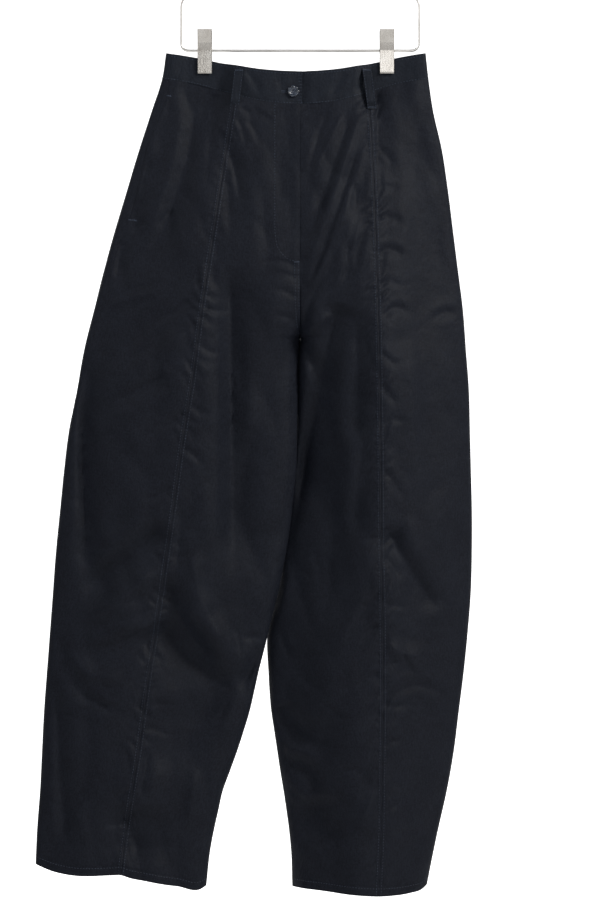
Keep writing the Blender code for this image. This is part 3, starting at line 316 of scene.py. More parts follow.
# The back hangs the same way: drapes from the clips, folds under the seat, and sweeps at the knee
FOLDS_BACK = table(
    "name side x1 d1 x2 d2 x3 d3 left right depth start end",
    ("seat drape", 1, -126, 236, -100, 330, -34, 440, 14, 8, 6.5, 0, 0.4),
    ("seat drape", 2, 114, 236, 92, 340, 34, 455, 8, 14, 6.5, 0, 0.4),
    ("seat side", 1, -130, 236, -170, 350, -208, 470, 8, 13, 4.5, 0, 0.4),
    ("seat side", 2, 119, 236, 152, 350, 170, 480, 13, 8, 4.5, 0, 0.4),
    ("seat fold a", 1, -60, 300, -36, 390, -16, 470, 7, 5, 2.5, 0.2, 0.4),
    ("seat fold b", 2, 62, 310, 40, 400, 18, 480, 5, 7, 2.5, 0.2, 0.4),
    ("under seat", 1, -34, 556, -104, 600, -200, 615, 14, 8, 6.5, 0.15, 0.3),
    ("under seat", 2, 36, 560, 95, 600, 165, 610, 8, 14, 6.5, 0.15, 0.3),
    ("under seat low", 1, -30, 610, -90, 650, -160, 664, 9, 7, 3.5, 0.2, 0.35),
    ("under seat low", 2, 30, 606, 84, 644, 140, 662, 7, 9, 3.5, 0.2, 0.35),
    ("back crease", 1, -150, 480, -146, 690, -140, 880, 26, 9, 7.5, 0.15, 0.25),
    ("back crease", 2, 122, 480, 112, 690, 100, 860, 9, 26, 7.5, 0.15, 0.25),
    ("back ridge", 1, -190, 520, -196, 680, -200, 840, 9, 9, -3, 0.25, 0.25),
    ("back ridge", 2, 158, 520, 156, 680, 148, 820, 9, 9, -2.5, 0.25, 0.25),
    ("edge trough", 1, -262, 600, -268, 730, -262, 860, 12, 7, 5.5, 0.2, 0.25),
    ("back knee", 1, -112, 834, -190, 880, -272, 892, 16, 8, 7.5, 0.2, 0.3),
    ("back knee ridge", 1, -116, 872, -190, 910, -262, 930, 9, 9, -3.5, 0.25, 0.3),
    ("back knee low", 1, -110, 940, -180, 962, -262, 990, 11, 8, 5, 0.25, 0.3),
    ("back knee", 2, 14, 846, 80, 890, 164, 902, 8, 16, 7, 0.2, 0.3),
    ("back knee ridge", 2, 20, 884, 80, 922, 150, 930, 9, 9, -3.2, 0.25, 0.3),
    ("back knee low", 2, 8, 945, 70, 975, 152, 990, 8, 11, 5, 0.25, 0.3),
    ("back calf", 1, -150, 1030, -190, 1080, -262, 1112, 12, 8, 5, 0.25, 0.3),
    ("back calf", 2, 28, 1050, 80, 1090, 142, 1104, 8, 12, 5, 0.25, 0.3),
    ("back hem", 1, -250, 1130, -244, 1180, -240, 1230, 8, 20, 4.5, 0.3, 0.3),
    ("back hem", 2, 96, 1140, 92, 1190, 90, 1244, 20, 8, 4.5, 0.3, 0.3),
)


def smooth(xs, ys, at):
    """The smooth curve through a table's rows, level past its ends."""
    slope = np.gradient(ys.astype(float), xs)
    at = np.clip(at, xs[0], xs[-1])
    i = np.clip(np.searchsorted(xs, at, side="right") - 1, 0, len(xs) - 2)
    span = xs[i + 1] - xs[i]
    t = (at - xs[i]) / span
    return (
        (1 + 2 * t) * (1 - t) ** 2 * ys[i]
        + t * (1 - t) ** 2 * span * slope[i]
        + t * t * (3 - 2 * t) * ys[i + 1]
        + t * t * (t - 1) * span * slope[i + 1]
    )


def ramp(low, high, value):
    """0 below low, 1 above high, smooth between."""
    t = np.clip((value - low) / (high - low), 0, 1)
    return t * t * (3 - 2 * t)


def bump(distance, width):
    """1 at no distance, fading out over about this width."""
    return np.exp(-((distance / width) ** 2))


CROTCH_DROP, FLY_END_DROP = 552.5, 453.7
CROTCH_ROW = 0.2985             # the crotch's share of the way from waist seam to hem
CROTCH_CURVE = {False: 58 / 1015, True: 78 / 1015}    # how far above it front and back start to close
CROTCH_ROUND = 50.0             # the radius of a closing section's inner edge
LEG_ROWS = (0.18, 0.44)         # between these shares the body's section turns into the leg's
POCKET_DROPS = (236.6, 399.1)   # the pocket's mouth, in the right side seam
CLIP_OUT = {RIGHT: 123.7, LEFT: 113.0}
CLIP_NEAR, CLIP_DROPS = (20, 42), (214, 285)    # where the jaws' hold on the cloth fades
PINCH_DEPTH = 2.2               # half the cloth's thickness between the jaws


def outline(side, drop):
    rows = OUTLINE_RIGHT if side == RIGHT else OUTLINE_LEFT
    return smooth(rows["drop"], rows["outer"], drop)


def inside_edge(side, drop):
    rows = INSIDE_RIGHT if side == RIGHT else INSIDE_LEFT
    return np.where(drop < CROTCH_DROP, 0.0, smooth(rows["drop"], rows["inner"], drop))


def front_seam(side, drop):
    rows = SEAM_RIGHT if side == RIGHT else SEAM_LEFT
    return smooth(rows["drop"], rows["seam"], drop)


def side_seam_ahead(side, drop):
    if side == LEFT:
        return -5.0
    return smooth(SIDE_SEAM_RIGHT["drop"], SIDE_SEAM_RIGHT["ahead"], drop)


def row_drop(side, back, across, share):
    """The drop of a row: as the waist seam slopes at its top, as the hem at its end."""
    hems = HEM_RIGHT if side == RIGHT else HEM_LEFT
    top = smooth(WAIST["across"], WAIST["drop"], across)
    end = smooth(hems["across"], hems["drop"], across) - (2.6 if back else 0.0)
    return top + share * (end - top)


def legness(back, share):
    """0 where the section crosses the centre, 1 where the leg is closed."""
    q = np.clip((share - CROTCH_ROW + CROTCH_CURVE[back]) / CROTCH_CURVE[back], 0, 1)
    return 1 - np.sqrt(np.maximum(0, 1 - q * q))


def depth_at(column, drop):
    return smooth(DEPTHS["drop"], DEPTHS[column], drop)


def pinch(side, out, drop):
    """1 where the clip's jaws press the cloth flat."""
    return (1 - ramp(*CLIP_NEAR, abs(out - CLIP_OUT[side]))) * (1 - ramp(*CLIP_DROPS, drop))


def rounded(distance, radius):
    """The rise of a round edge of this radius, from 0 at the edge to 1 at the radius."""
    left = np.clip(1 - distance / radius, 0, 1)
    return np.sqrt(1 - left**2)


def half_depth(side, back, across, out, drop, width, share):
    """From the middle plane to the cloth's outside, before its folds."""
    tip = depth_at("tip", drop)
    centre = depth_at("centre", drop) - tip
    belly = depth_at(("back_" if back else "front_") + ("right" if side == RIGHT else "left"), drop) - tip
    outer = rounded((1 - across) * width, tip)
    swell = np.sin(math.pi * np.clip(across, 0, 1)) ** 1.25
    body = tip * outer + centre * np.cos(math.pi / 2 * across) ** 2 + (belly - 0.5 * centre) * swell
    closed = legness(back, share)
    body = body * (1 - closed + closed * rounded(across * width, CROTCH_ROUND))
    tube = tip * outer * rounded(across * width, tip) + belly * swell
    blend = ramp(*LEG_ROWS, share)
    depth = body * (1 - blend) + tube * blend
    held = pinch(side, out, drop)
    return depth * (1 - held) + np.minimum(depth, PINCH_DEPTH) * held


FOLD_REACH = 3.2          # how far a fold shows past its line, in its widths


def fold_depth(folds, side, x, drop):
    """How far the folds take the cloth in, each with its own width to the left and right of its line."""
    total = np.zeros(x.shape)
    steps = np.linspace(0, 1, 33)
    for i in range(len(folds["side"])):
        if folds["side"][i] != side and folds["d1"][i] > CROTCH_DROP - 130:
            continue
        (x1, x2, x3), (d1, d2, d3) = ([folds[f"{axis}{n}"][i] for n in (1, 2, 3)] for axis in "xd")
        reach = FOLD_REACH * max(folds["left"][i], folds["right"][i])
        near = (x > min(x1, x2, x3) - reach) & (x < max(x1, x2, x3) + reach)
        near &= (drop > min(d1, d2, d3) - reach) & (drop < max(d1, d2, d3) + reach)
        if not near.any():
            continue
        line_x, line_d = (
            a * (1 - steps) ** 2 + (4 * b - a - c) * steps * (1 - steps) + c * steps**2
            for a, b, c in ((x1, x2, x3), (d1, d2, d3))
        )
        from_x = x[near][:, None] - line_x
        from_d = drop[near][:, None] - line_d
        nearest = np.hypot(from_x, from_d).argmin(-1)
        row = np.arange(len(nearest))
        from_x, from_d = from_x[row, nearest], from_d[row, nearest]
        run_x, run_d = np.gradient(line_x)[nearest], np.gradient(line_d)[nearest]
        run = run_x**2 + run_d**2
        past = (from_x * run_x + from_d * run_d) / run
        past = np.clip(past, -0.5 * (nearest > 0), 0.5 * (nearest < len(steps) - 1))
        from_x, from_d = from_x - past * run_x, from_d - past * run_d
        away = np.hypot(from_x, from_d)
        on_left = 1 - ramp(-1, 1, (run_d * from_x - run_x * from_d) / np.sqrt(run) / (2.0 + 0.6 * away))
        far = away / (folds["left"][i] * on_left + folds["right"][i] * (1 - on_left))
        at = (nearest + past) / (len(steps) - 1)
        strength = ramp(-0.02, max(folds["start"][i], 1e-3), at) * ramp(0, max(folds["end"][i], 1e-3), 1 - at)
        dip = 0.64 * bump(far, 1.0) + 0.36 * np.exp(-1.5 * far) - 0.16 * bump(far - 2.1, 0.8)
        total[near] += folds["depth"][i] * strength * dip
    return total


def crumple(x, drop, seed, size, stretch=1.0):
    """Uneven swells of about this size and of about 1 at most, stretched down the leg."""
    draw = np.random.default_rng(seed)
    total = np.zeros(np.shape(x))
    for _ in range(14):
        turn = draw.uniform(0, math.pi)
        wave = 2 * math.pi / (size * draw.uniform(0.7, 1.6))
        total += np.sin(wave * (x * math.cos(turn) + drop / stretch * math.sin(turn)) + draw.uniform(0, 6.28))
    return total / 5.2


SMALL_GATHER, LARGE_GATHER = 8.6, 25.0      # from one gather to the next
SEAM_GROOVE = 0.35


def seam_gathers(side, away, drop):
    """The groove of the front seam, and the slanting gathers that its double stitching pulls up."""
    near = abs(away)
    phase = drop / SMALL_GATHER * 2 * math.pi + 2.5 * crumple(0 * drop, drop, 40 + side, 60) + 0.2 * near
    uneven = np.clip(0.7 + 0.7 * crumple(0.2 * away, drop, 50 + side, 45), 0, 1.5)
    gathers = 0.5 * np.sin(phase) * uneven * (bump(near - 6.0, 4.0) + 0.4 * bump(away, 3.5))
    phase = (drop + np.where(away > 0, 1.35, -0.81) * near) / LARGE_GATHER * 2 * math.pi
    phase = phase + 5.5 * crumple(0 * drop, drop, 46 + side, 80)
    uneven = np.clip(0.45 + 1.2 * crumple(0.1 * away, drop, 56 + side, 70), 0, 1.8)
    gathers = gathers + 1.05 * np.sin(phase) * uneven * bump(near - 9.0, 7.0)
    return gathers + SEAM_GROOVE * (bump(away, 0.9) - bump(near - 2.0, 1.4))


# The cloth's own swells, soft ones and then bent creases; the back's are other draws, BACK_SEED further on
BACK_SEED = 4
SWELLS = table("height seed size stretch", (1.0, 4, 66, 1.6), (0.3, 24, 27, 1.2))
BENDS = table("depth seed size stretch slant", (2.9, 34, 105, 1.9, 0.35), (2.32, 44, 80, 1.6, -0.3))
HEM_HIGH, HEM_STEP = 11.5, 0.5


def cloth_point(side, turn, share, fine=True):
    """The cloth's outside. `turn` goes from the inner edge (0) by the outline (1) to the inner edge (2)."""
    back = turn > 1
    across = np.where(back, 2 - turn, turn)
    points = np.zeros(turn.shape + (3,))
    sign = -1 if side == RIGHT else 1
    for face in (False, True):
        drop = row_drop(side, face, across, share)
        inner = inside_edge(side, row_drop(side, face, 0.0, share))
        width = outline(side, row_drop(side, face, 1.0, share)) - inner
        out = inner + across * width
        x = sign * out
        depth = half_depth(side, face, across, out, drop, width, share)
        fold = fold_depth(FOLDS_BACK if face else FOLDS_FRONT, side, x, drop)
        if fine:
            for height, seed, size, stretch in zip(*SWELLS.values()):
                fold = fold + height * crumple(x, drop, seed + BACK_SEED * face, size, stretch)
            for bend, seed, size, stretch, slant in zip(*BENDS.values()):
                slanted = x + slant * drop
                fold = fold - bend * abs(crumple(slanted, drop, seed + BACK_SEED * face, size, stretch))
            if not face:
                fold = fold + fold_depth(CREASES_FRONT, side, x, drop)
                fold = fold + seam_gathers(side, out - front_seam(side, drop), drop)
                edge_seam = inner + width - side_seam_ahead(side, drop)
                fold = fold + 0.8 * bump(out - edge_seam, 1.1) - 0.4 * bump(out - edge_seam + 3.0, 2.0)
            above_hem = row_drop(side, face, across, 1.0) - drop
            fold = fold - HEM_STEP * (1 - ramp(HEM_HIGH - 2, HEM_HIGH, above_hem))
            fold = fold + 0.4 * bump(above_hem - HEM_HIGH, 1.6)
        leg = legness(face, share)
        fold = fold * (1 - leg + leg * ramp(0, 14, across * width)) * ramp(0, 20, (1 - across) * width)
        depth = np.maximum(depth - fold, np.minimum(depth, PINCH_DEPTH))
        if side == RIGHT and not face:
            fly = (1 - ramp(4, 15, out)) * (1 - ramp(-8, 8, drop - FLY_END_DROP))
            mouth = ramp(0, 12, drop - POCKET_DROPS[0]) * ramp(0, 12, POCKET_DROPS[1] - drop)
            depth = depth + 1.2 * fly + fine * 1.1 * mouth * bump((1 - across) * width - 13, 6.0)
        lead = depth_at("lead", drop) * (1 - across) ** 2 * (-1 if side == RIGHT else 1)
        y = (depth if face else -depth) + lead * leg
        chosen = back == face
        points[chosen] = np.stack([x, y, -drop], -1)[chosen]
    return points


COLUMNS = (60, 52, 50)       # of the centre front, side front and back panels
ROW_SHARES = np.concatenate([
    np.linspace(0, CROTCH_ROW, 122),
    np.linspace(CROTCH_ROW, 0.985, 276)[1:],
    np.linspace(0.985, 1, 13)[1:],
])


def section_turns(side, share):
    """Where a row's columns lie: close where the section bends, with one on each seam."""
    near = 1 - np.cos(np.linspace(0, math.pi / 2, 15))
    across = np.concatenate([0.05 * near, np.linspace(0.05, 0.95, 120)[1:-1], 1 - 0.05 * near[::-1]])
    turn = np.concatenate([across, 2 - across[::-1][1:]])
    points = cloth_point(side, turn, np.full(turn.shape, share), fine=False)
    step = np.diff(points[:, :2], axis=0)
    length = np.hypot(step[:, 0], step[:, 1])
    bend = np.abs(np.gradient(np.unwrap(np.arctan2(step[:, 1], step[:, 0]))))
    bend = np.convolve(bend, np.ones(9) / 9, mode="same")
    measure = np.concatenate([[0], np.cumsum(length + 8 * bend)])
    out = np.abs(points[:, 0]) if share < CROTCH_ROW else points[:, 0] * (-1 if side == RIGHT else 1)
    drop = -points[:, 2]
    tip = len(across) - 1
    seam_out = front_seam(side, np.interp(0.5, across, drop[: tip + 1]))
    seam = np.interp(seam_out, out[: tip + 1], measure[: tip + 1])
    ahead = side_seam_ahead(side, drop[tip])
    if ahead >= 0:
        edge = np.interp(out[tip] - ahead, out[: tip + 1], measure[: tip + 1])
    else:
        edge = np.interp(-(out[tip] + ahead), -out[tip:], measure[tip:])
    stops = [0.0]
    for start, end, count in zip((0, seam, edge), (seam, edge, measure[-1]), COLUMNS):
        even = np.linspace(0, 1, count + 1)[1:]
        stops.extend(start + (end - start) * (even - 0.09 * np.sin(2 * math.pi * even)))
    return np.interp(stops, measure, turn)


def unit(vectors):
    return vectors / np.maximum(np.linalg.norm(vectors, axis=-1, keepdims=True), 1e-9)


def along(points, axis):
    """The direction at each point, halfway between those of the steps before and after it."""
    points = np.moveaxis(points, axis, 0)
    steps = unit(np.diff(points, axis=0))
    total = np.concatenate([steps, steps[-1:]]) + np.concatenate([steps[:1], steps])
    return np.moveaxis(unit(total), 0, axis)


def side_grid(side):
    """One side's outside points, normals and directions across, rows from waist seam to hem."""
    stops = np.sort(np.append(np.linspace(0, 1, 61), [CROTCH_ROW - 1e-4, CROTCH_ROW + 1e-4]))
    turns = np.array([section_turns(side, share) for share in stops])
    turns = np.array([np.interp(ROW_SHARES, stops, column) for column in turns.T]).T
    points = cloth_point(side, turns, np.repeat(ROW_SHARES[:, None], turns.shape[1], axis=1))
    across = along(points, 1)
    leg = ROW_SHARES >= CROTCH_ROW - 1e-6
    wrap = unit(points[:, 1] - points[:, 0]) + unit(points[:, -1] - points[:, -2])
    across[leg, 0] = across[leg, -1] = wrap[leg]
    normals = unit(np.cross(across, along(points, 0))) * (-1 if side == LEFT else 1)
    crotch = int(np.argmin(abs(ROW_SHARES - CROTCH_ROW)))
    for column, facing in ((0, -1), (-1, 1)):
        curve = np.gradient(points[: crotch + 1, column], axis=0)
        level = np.stack([curve[:, 0] * 0, -facing * curve[:, 2], facing * curve[:, 1]], -1)
        normals[: crotch + 1, column] = unit(level)
        normals[crotch, column] = (0.7 if side == RIGHT else -0.7, 0, -0.7)
    return points, normals, unit(across)


def put(name, data):
    """A new object in the scene, at the origin."""
    made = bpy.data.objects.new(name, data)
    bpy.context.scene.collection.objects.link(made)
    return made


def on_root(piece, slot, *nodes):
    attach(piece, "root")
    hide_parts(*nodes)
    return piece


def sew(name, outside, inside, material, slot, *nodes):
    """A piece of cloth between its outer and inner points. Its UV map has 100 mm a unit along the thread."""
    rows, columns = outside.shape[:2]
    index = np.arange(rows * columns).reshape(rows, columns)
    other = index + rows * columns
    ring = np.concatenate([index[0, :-1], index[:-1, -1], index[-1, :0:-1], index[:0:-1, 0]])
    after = np.roll(ring, -1)
    faces = np.concatenate([
        np.stack([index[:-1, :-1], index[:-1, 1:], index[1:, 1:], index[1:, :-1]], -1).reshape(-1, 4),
        np.stack([other[:-1, :-1], other[1:, :-1], other[1:, 1:], other[:-1, 1:]], -1).reshape(-1, 4),
        np.stack([after, ring, ring + rows * columns, after + rows * columns], -1),
    ])
    points = np.concatenate([outside.reshape(-1, 3), inside.reshape(-1, 3)])
    a, b, c, d = (points[faces[:, i]] for i in range(4))
    if (a * (np.cross(b, c) + np.cross(c, d))).sum() < 0:
        faces = faces[:, ::-1]
    mesh = bpy.data.meshes.new(name)
    mesh.from_pydata((points / 1000).tolist(), [], faces.tolist())
    u = np.cumsum(np.linalg.norm(np.diff(outside, axis=1, prepend=outside[:, :1]), axis=-1), axis=1)
    v = np.cumsum(np.linalg.norm(np.diff(outside, axis=0, prepend=outside[:1]), axis=-1), axis=0)
    uv = np.tile(np.stack([u, v], -1).reshape(-1, 2), (2, 1)) / 100
    corners = np.zeros(len(mesh.loops), int)
    mesh.loops.foreach_get("vertex_index", corners)
    mesh.uv_layers.new(name="cloth").data.foreach_set("uv", uv[corners].ravel())
    mesh.shade_smooth()
    mesh.set_sharp_from_angle(angle=math.radians(50))
    mesh.materials.append(material)
    return on_root(put(name, mesh), slot, *nodes)


def linear(code):
    """The scene-linear colour of an sRGB hex code."""
    parts = [int(code[i : i + 2], 16) / 255 for i in (0, 2, 4)]
    return (*[c / 12.92 if c <= 0.04045 else ((c + 0.055) / 1.055) ** 2.4 for c in parts], 1.0)


def add(tree, kind, settings=(), stops=(), into=None, **links):
    """A node with its settings, a ramp's stops, its inputs by name (an output or a value, i0 and i1 for those
    without a name), and the input that its first output goes into."""
    node = tree.nodes.new(kind)
    for name, value in dict(settings).items():
        setattr(node, name, value)
    for place, (position, code) in enumerate(stops):
        stop = node.color_ramp.elements[place]
        stop.position, stop.color = position, linear(code)
    for name, value in links.items():
        numbered = name[0] == "i" and name[1:].isdigit()
        socket = node.inputs[int(name[1:]) if numbered else name.replace("_", " ")]
        if isinstance(value, bpy.types.NodeSocket):
            tree.links.new(value, socket)
        else:
            socket.default_value = value
    if into:
        tree.links.new(node.outputs[0], into)
    return node


def blank_material(name):
    material = bpy.data.materials.new(name)
    material.use_nodes = True
    return material, material.node_tree, material.node_tree.nodes["Principled BSDF"]


def crisp_cotton(name, light, dark, rough):
    """Piece-dyed cotton satin: a close weave, drawn at 0.6 mm to show, with slubs, a grain of 2 mm, crushed
    places and a faint bloom, and a soft shine where it bends."""
    material, tree, cloth = blank_material(name)
    cloth.inputs["IOR"].default_value = 1.47
    cloth.inputs["Specular IOR Level"].default_value = 0.1
    on = add(tree, "ShaderNodeUVMap", {"uv_map": "cloth"}).outputs["UV"]
    bloom = add(tree, "ShaderNodeTexNoise", Vector=on, Scale=2.2, Detail=6.0, Roughness=0.62).outputs["Fac"]
    drawn = add(tree, "ShaderNodeMapping", Vector=on, Scale=(60.0, 12.0, 1.0)).outputs["Vector"]
    slubs = add(tree, "ShaderNodeTexNoise", Vector=drawn, Scale=1.0, Detail=3.0).outputs["Fac"]
    grain = add(tree, "ShaderNodeTexNoise", Vector=on, Scale=42.0, Detail=3.0, Roughness=0.7).outputs["Fac"]
    both = 0.0
    for part, weight in ((slubs, 0.3), (grain, 0.5), (bloom, 0.2)):
        sum_of = add(tree, "ShaderNodeMath", {"operation": "MULTIPLY_ADD"}, i0=part, i1=weight, i2=both)
        both = sum_of.outputs[0]
    colours = ((0.43, dark), (0.57, light))
    add(tree, "ShaderNodeValToRGB", stops=colours, into=cloth.inputs["Base Color"], Fac=both)
    add(
        tree, "ShaderNodeMapRange", into=cloth.inputs["Roughness"], Value=both,
        To_Min=rough - 0.05, To_Max=rough + 0.06,
    )
    warp, weft = (
        add(tree, "ShaderNodeTexWave", {"bands_direction": run}, Vector=on, Scale=50.0).outputs["Fac"]
        for run in "XY"
    )
    weave = add(tree, "ShaderNodeMath", {"operation": "ADD"}, i0=warp, i1=weft).outputs[0]
    threads = add(tree, "ShaderNodeBump", Height=weave, Strength=0.15, Distance=0.0001).outputs["Normal"]
    crush = add(tree, "ShaderNodeTexNoise", Vector=on, Scale=7.0, Detail=5.0, Roughness=0.6).outputs["Fac"]
    uneven = add(tree, "ShaderNodeBump", Height=crush, Normal=threads, Strength=0.5, Distance=0.0025)
    add(
        tree, "ShaderNodeBump", into=cloth.inputs["Normal"], Height=slubs, Normal=uneven.outputs["Normal"],
        Strength=0.4, Distance=0.0003,
    )
    return material


panel_cotton = crisp_cotton("navy cotton satin, woven and piece-dyed", "1c1f27", "14161d", 0.58)
PANEL_WALL, HEM_WALL, HEM_SHARE = 1.2, 2.0, 0.9895      # the hem is thicker, from this share of the way down
GRIDS = {side: side_grid(side) for side in (RIGHT, LEFT)}
SEAM_COLUMN, EDGE_COLUMN = COLUMNS[0], COLUMNS[0] + COLUMNS[1]
CUTS = {                       # width, length and area of each panel as it is cut, in metres
    "front_centre_right": (0.28, 1.06, 0.144), "front_side_right": (0.23, 1.06, 0.150),
    "back_right": (0.36, 1.06, 0.289), "front_centre_left": (0.26, 1.06, 0.143),
    "front_side_left": (0.22, 1.06, 0.136), "back_left": (0.32, 1.06, 0.251),
}
SEAM_INSET = 0.04
INNER_INSET = np.where(ROW_SHARES < CROTCH_ROW + 1e-3, 0.0, 0.08)[:, None]
behind_fly = 1 - ramp(FLY_END_DROP - 20, FLY_END_DROP, -GRIDS[LEFT][0][:, 0, 2])[:, None, None]
FLY_STEP, FLY_UNDER = 2.8, 0.35       # the strip of the left front that runs under the right, to back the fly
FLY_STRIP = [SEAM_INSET * k + FLY_STEP * k * behind_fly for k in (3, 2, 1)]
panels, CLOTH = {}, {}
for side, label in ((RIGHT, "right"), (LEFT, "left")):
    points, normals, across = GRIDS[side]
    thick = np.where(ROW_SHARES > HEM_SHARE, HEM_WALL, PANEL_WALL)[:, None, None]
    stops = (0, SEAM_COLUMN, EDGE_COLUMN, sum(COLUMNS))
    for part, first, last in zip(("front_centre", "front_side", "back"), stops, stops[1:]):
        name = f"{part}_{label}"
        outside = points[:, first : last + 1].copy()
        outside[:, 0] += across[:, first] * (SEAM_INSET if first else INNER_INSET)
        outside[:, -1] -= across[:, last] * (SEAM_INSET if last < sum(COLUMNS) else INNER_INSET)
        inside = outside - normals[:, first : last + 1] * thick
        CLOTH[name] = outside
        if name == "front_centre_left":
            facing = normals[:, :1]
            strips = [outside[:, :1] - (across[:, :1] * reach + facing * FLY_UNDER) for reach in FLY_STRIP]
            outside = np.concatenate([*strips, outside], axis=1)
            inside = np.concatenate([*(strip - facing * PANEL_WALL for strip in strips), inside], axis=1)
        panels[name] = sew(f"cloth_{name}", outside, inside, panel_cotton, "panel_cotton", name)



# Every seam and hem is sewn with a polyester thread a little bluer and lighter than the cloth, a stitch each
# 3.8 mm. The long front seams have a row on each side, the fly a curved row, the hems one 10 mm up.
STITCH_PITCH, STITCH_LONG, THREAD_RADIUS, OVER_CLOTH = 3.8, 2.2, 0.33, 0.1
TACK_HALF, TACK_STITCH = 0.75, {"pitch": 0.9, "length": 1.3}
FLY_STITCH = table(
    "x drop",
    (-32.5, 250), (-32.6, 300), (-32.5, 350), (-32.6, 395), (-32, 420), (-28, 438), (-15.6, 451.5),
    (-1.5, 455),
)
BAR_TACKS = (                  # at the pocket's ends and the fly's: the panel, and x and drop of its two ends
    ("front_side_right", (-176.5, 237), (-167.5, 238.5)),
    ("front_side_right", (-223.5, 399), (-211.5, 400.5)),
    ("front_centre_right", (-7.5, 455.5), (-1.0, 455.5)),
)


def spun_polyester(name):
    """Two-ply sewing thread with a soft shine; its twist is drawn at 0.7 mm, coarser than it is, to show."""
    material, tree, thread = blank_material(name)
    thread.inputs["Specular IOR Level"].default_value = 0.3
    at = add(tree, "ShaderNodeTexCoord").outputs["Object"]
    uneven = add(tree, "ShaderNodeTexNoise", Vector=at, Scale=500.0, Detail=3.0).outputs["Fac"]
    colours = ((0.35, "232935"), (0.65, "3d4759"))
    add(tree, "ShaderNodeValToRGB", stops=colours, into=thread.inputs["Base Color"], Fac=uneven)
    add(tree, "ShaderNodeMapRange", into=thread.inputs["Roughness"], Value=uneven, To_Min=0.45, To_Max=0.62)
    twist = add(tree, "ShaderNodeTexWave", {"bands_direction": "DIAGONAL"}, Vector=at, Scale=450.0)
    add(
        tree, "ShaderNodeBump", into=thread.inputs["Normal"], Height=twist.outputs["Fac"], Strength=0.4,
        Distance=0.0001,
    )
    return material


def stitch_group():
    """Geometry nodes that set one small rounded stitch at each step along a row's line."""
    tree = bpy.data.node_groups.new("row of stitches", "GeometryNodeTree")
    tree.interface.new_socket("Geometry", in_out="INPUT", socket_type="NodeSocketGeometry")
    for name in ("Pitch", "Stitch Length", "Thread Radius"):
        tree.interface.new_socket(name, in_out="INPUT", socket_type="NodeSocketFloat")
    tree.interface.new_socket("Thread", in_out="INPUT", socket_type="NodeSocketMaterial")
    tree.interface.new_socket("Geometry", in_out="OUTPUT", socket_type="NodeSocketGeometry")
    given = add(tree, "NodeGroupInput").outputs
    line = add(tree, "GeometryNodeMeshToCurve", Mesh=given["Geometry"]).outputs["Curve"]
    places = add(tree, "GeometryNodeResampleCurve", {"mode": "LENGTH"}, Curve=line, Length=given["Pitch"])
    half = add(tree, "ShaderNodeMath", {"operation": "MULTIPLY"}, i0=given["Stitch Length"], i1=0.5)
    thick = given["Thread Radius"]
    size = add(tree, "ShaderNodeCombineXYZ", X=thick, Y=thick, Z=half.outputs[0])
    ball = add(tree, "GeometryNodeMeshUVSphere", Segments=6, Rings=4, Radius=1.0).outputs["Mesh"]
    stitch = add(tree, "GeometryNodeTransform", Geometry=ball, Scale=size.outputs["Vector"])
    tangent = add(tree, "GeometryNodeInputTangent").outputs["Tangent"]
    turned = add(tree, "FunctionNodeAlignRotationToVector", {"axis": "Z"}, Vector=tangent).outputs["Rotation"]
    pulled = add(tree, "FunctionNodeRandomValue", Seed=7)
    pulled.inputs[2].default_value, pulled.inputs[3].default_value = 0.88, 1.06
    placed = add(
        tree, "GeometryNodeInstanceOnPoints", Points=places.outputs["Curve"],
        Instance=stitch.outputs["Geometry"], Rotation=turned, Scale=pulled.outputs[1],
    )
    real = add(tree, "GeometryNodeRealizeInstances", Geometry=placed.outputs["Instances"]).outputs["Geometry"]
    done = add(tree, "GeometryNodeSetMaterial", Geometry=real, Material=given["Thread"]).outputs["Geometry"]
    add(tree, "NodeGroupOutput", Geometry=done)
    return tree


def stitches(name, rows, slot, *nodes, pitch=STITCH_PITCH, length=STITCH_LONG):
    """One piece of every stitch along these lines of points."""
    starts = np.cumsum([0] + [len(row) for row in rows])
    edges = [(k, k + 1) for start, end in zip(starts, starts[1:]) for k in range(start, end - 1)]
    mesh = bpy.data.meshes.new(name)
    mesh.from_pydata((np.concatenate(rows) / 1000).tolist(), edges, [])
    piece = put(name, mesh)
    sewn = piece.modifiers.new("stitches", "NODES")
    sewn.node_group = row_of_stitches
    sizes = {
        "Pitch": pitch / 1000, "Stitch Length": length / 1000, "Thread Radius": THREAD_RADIUS / 1000,
        "Thread": sewing_thread,
    }
    for item in row_of_stitches.interface.items_tree:
        if item.name in sizes:
            sewn[item.identifier] = sizes[item.name]
    mesh = bpy.data.meshes.new_from_object(piece.evaluated_get(bpy.context.evaluated_depsgraph_get()))
    piece.modifiers.clear()
    piece.data = mesh
    mesh.shade_smooth()
    return on_root(piece, slot, *nodes)


def beside(grid, distance, edge="first", up=False):
    """A line over the cloth at this distance from a grid's first or last column, or row where `up` is set."""
    normals = unit(np.cross(along(grid, 1), along(grid, 0)))
    if (normals[..., 1] * grid[..., 1]).sum() < 0:
        normals = -normals
    raised = grid + normals * OVER_CLOTH
    if up:
        raised = raised.transpose(1, 0, 2)
    if edge == "last":
        raised = raised[:, ::-1]
    length = np.cumsum(np.linalg.norm(np.diff(raised, axis=1, prepend=raised[:, :1]), axis=-1), axis=1)
    lines = zip(length, raised)
    return np.array([[np.interp(distance, far, axis) for axis in line.T] for far, line in lines])


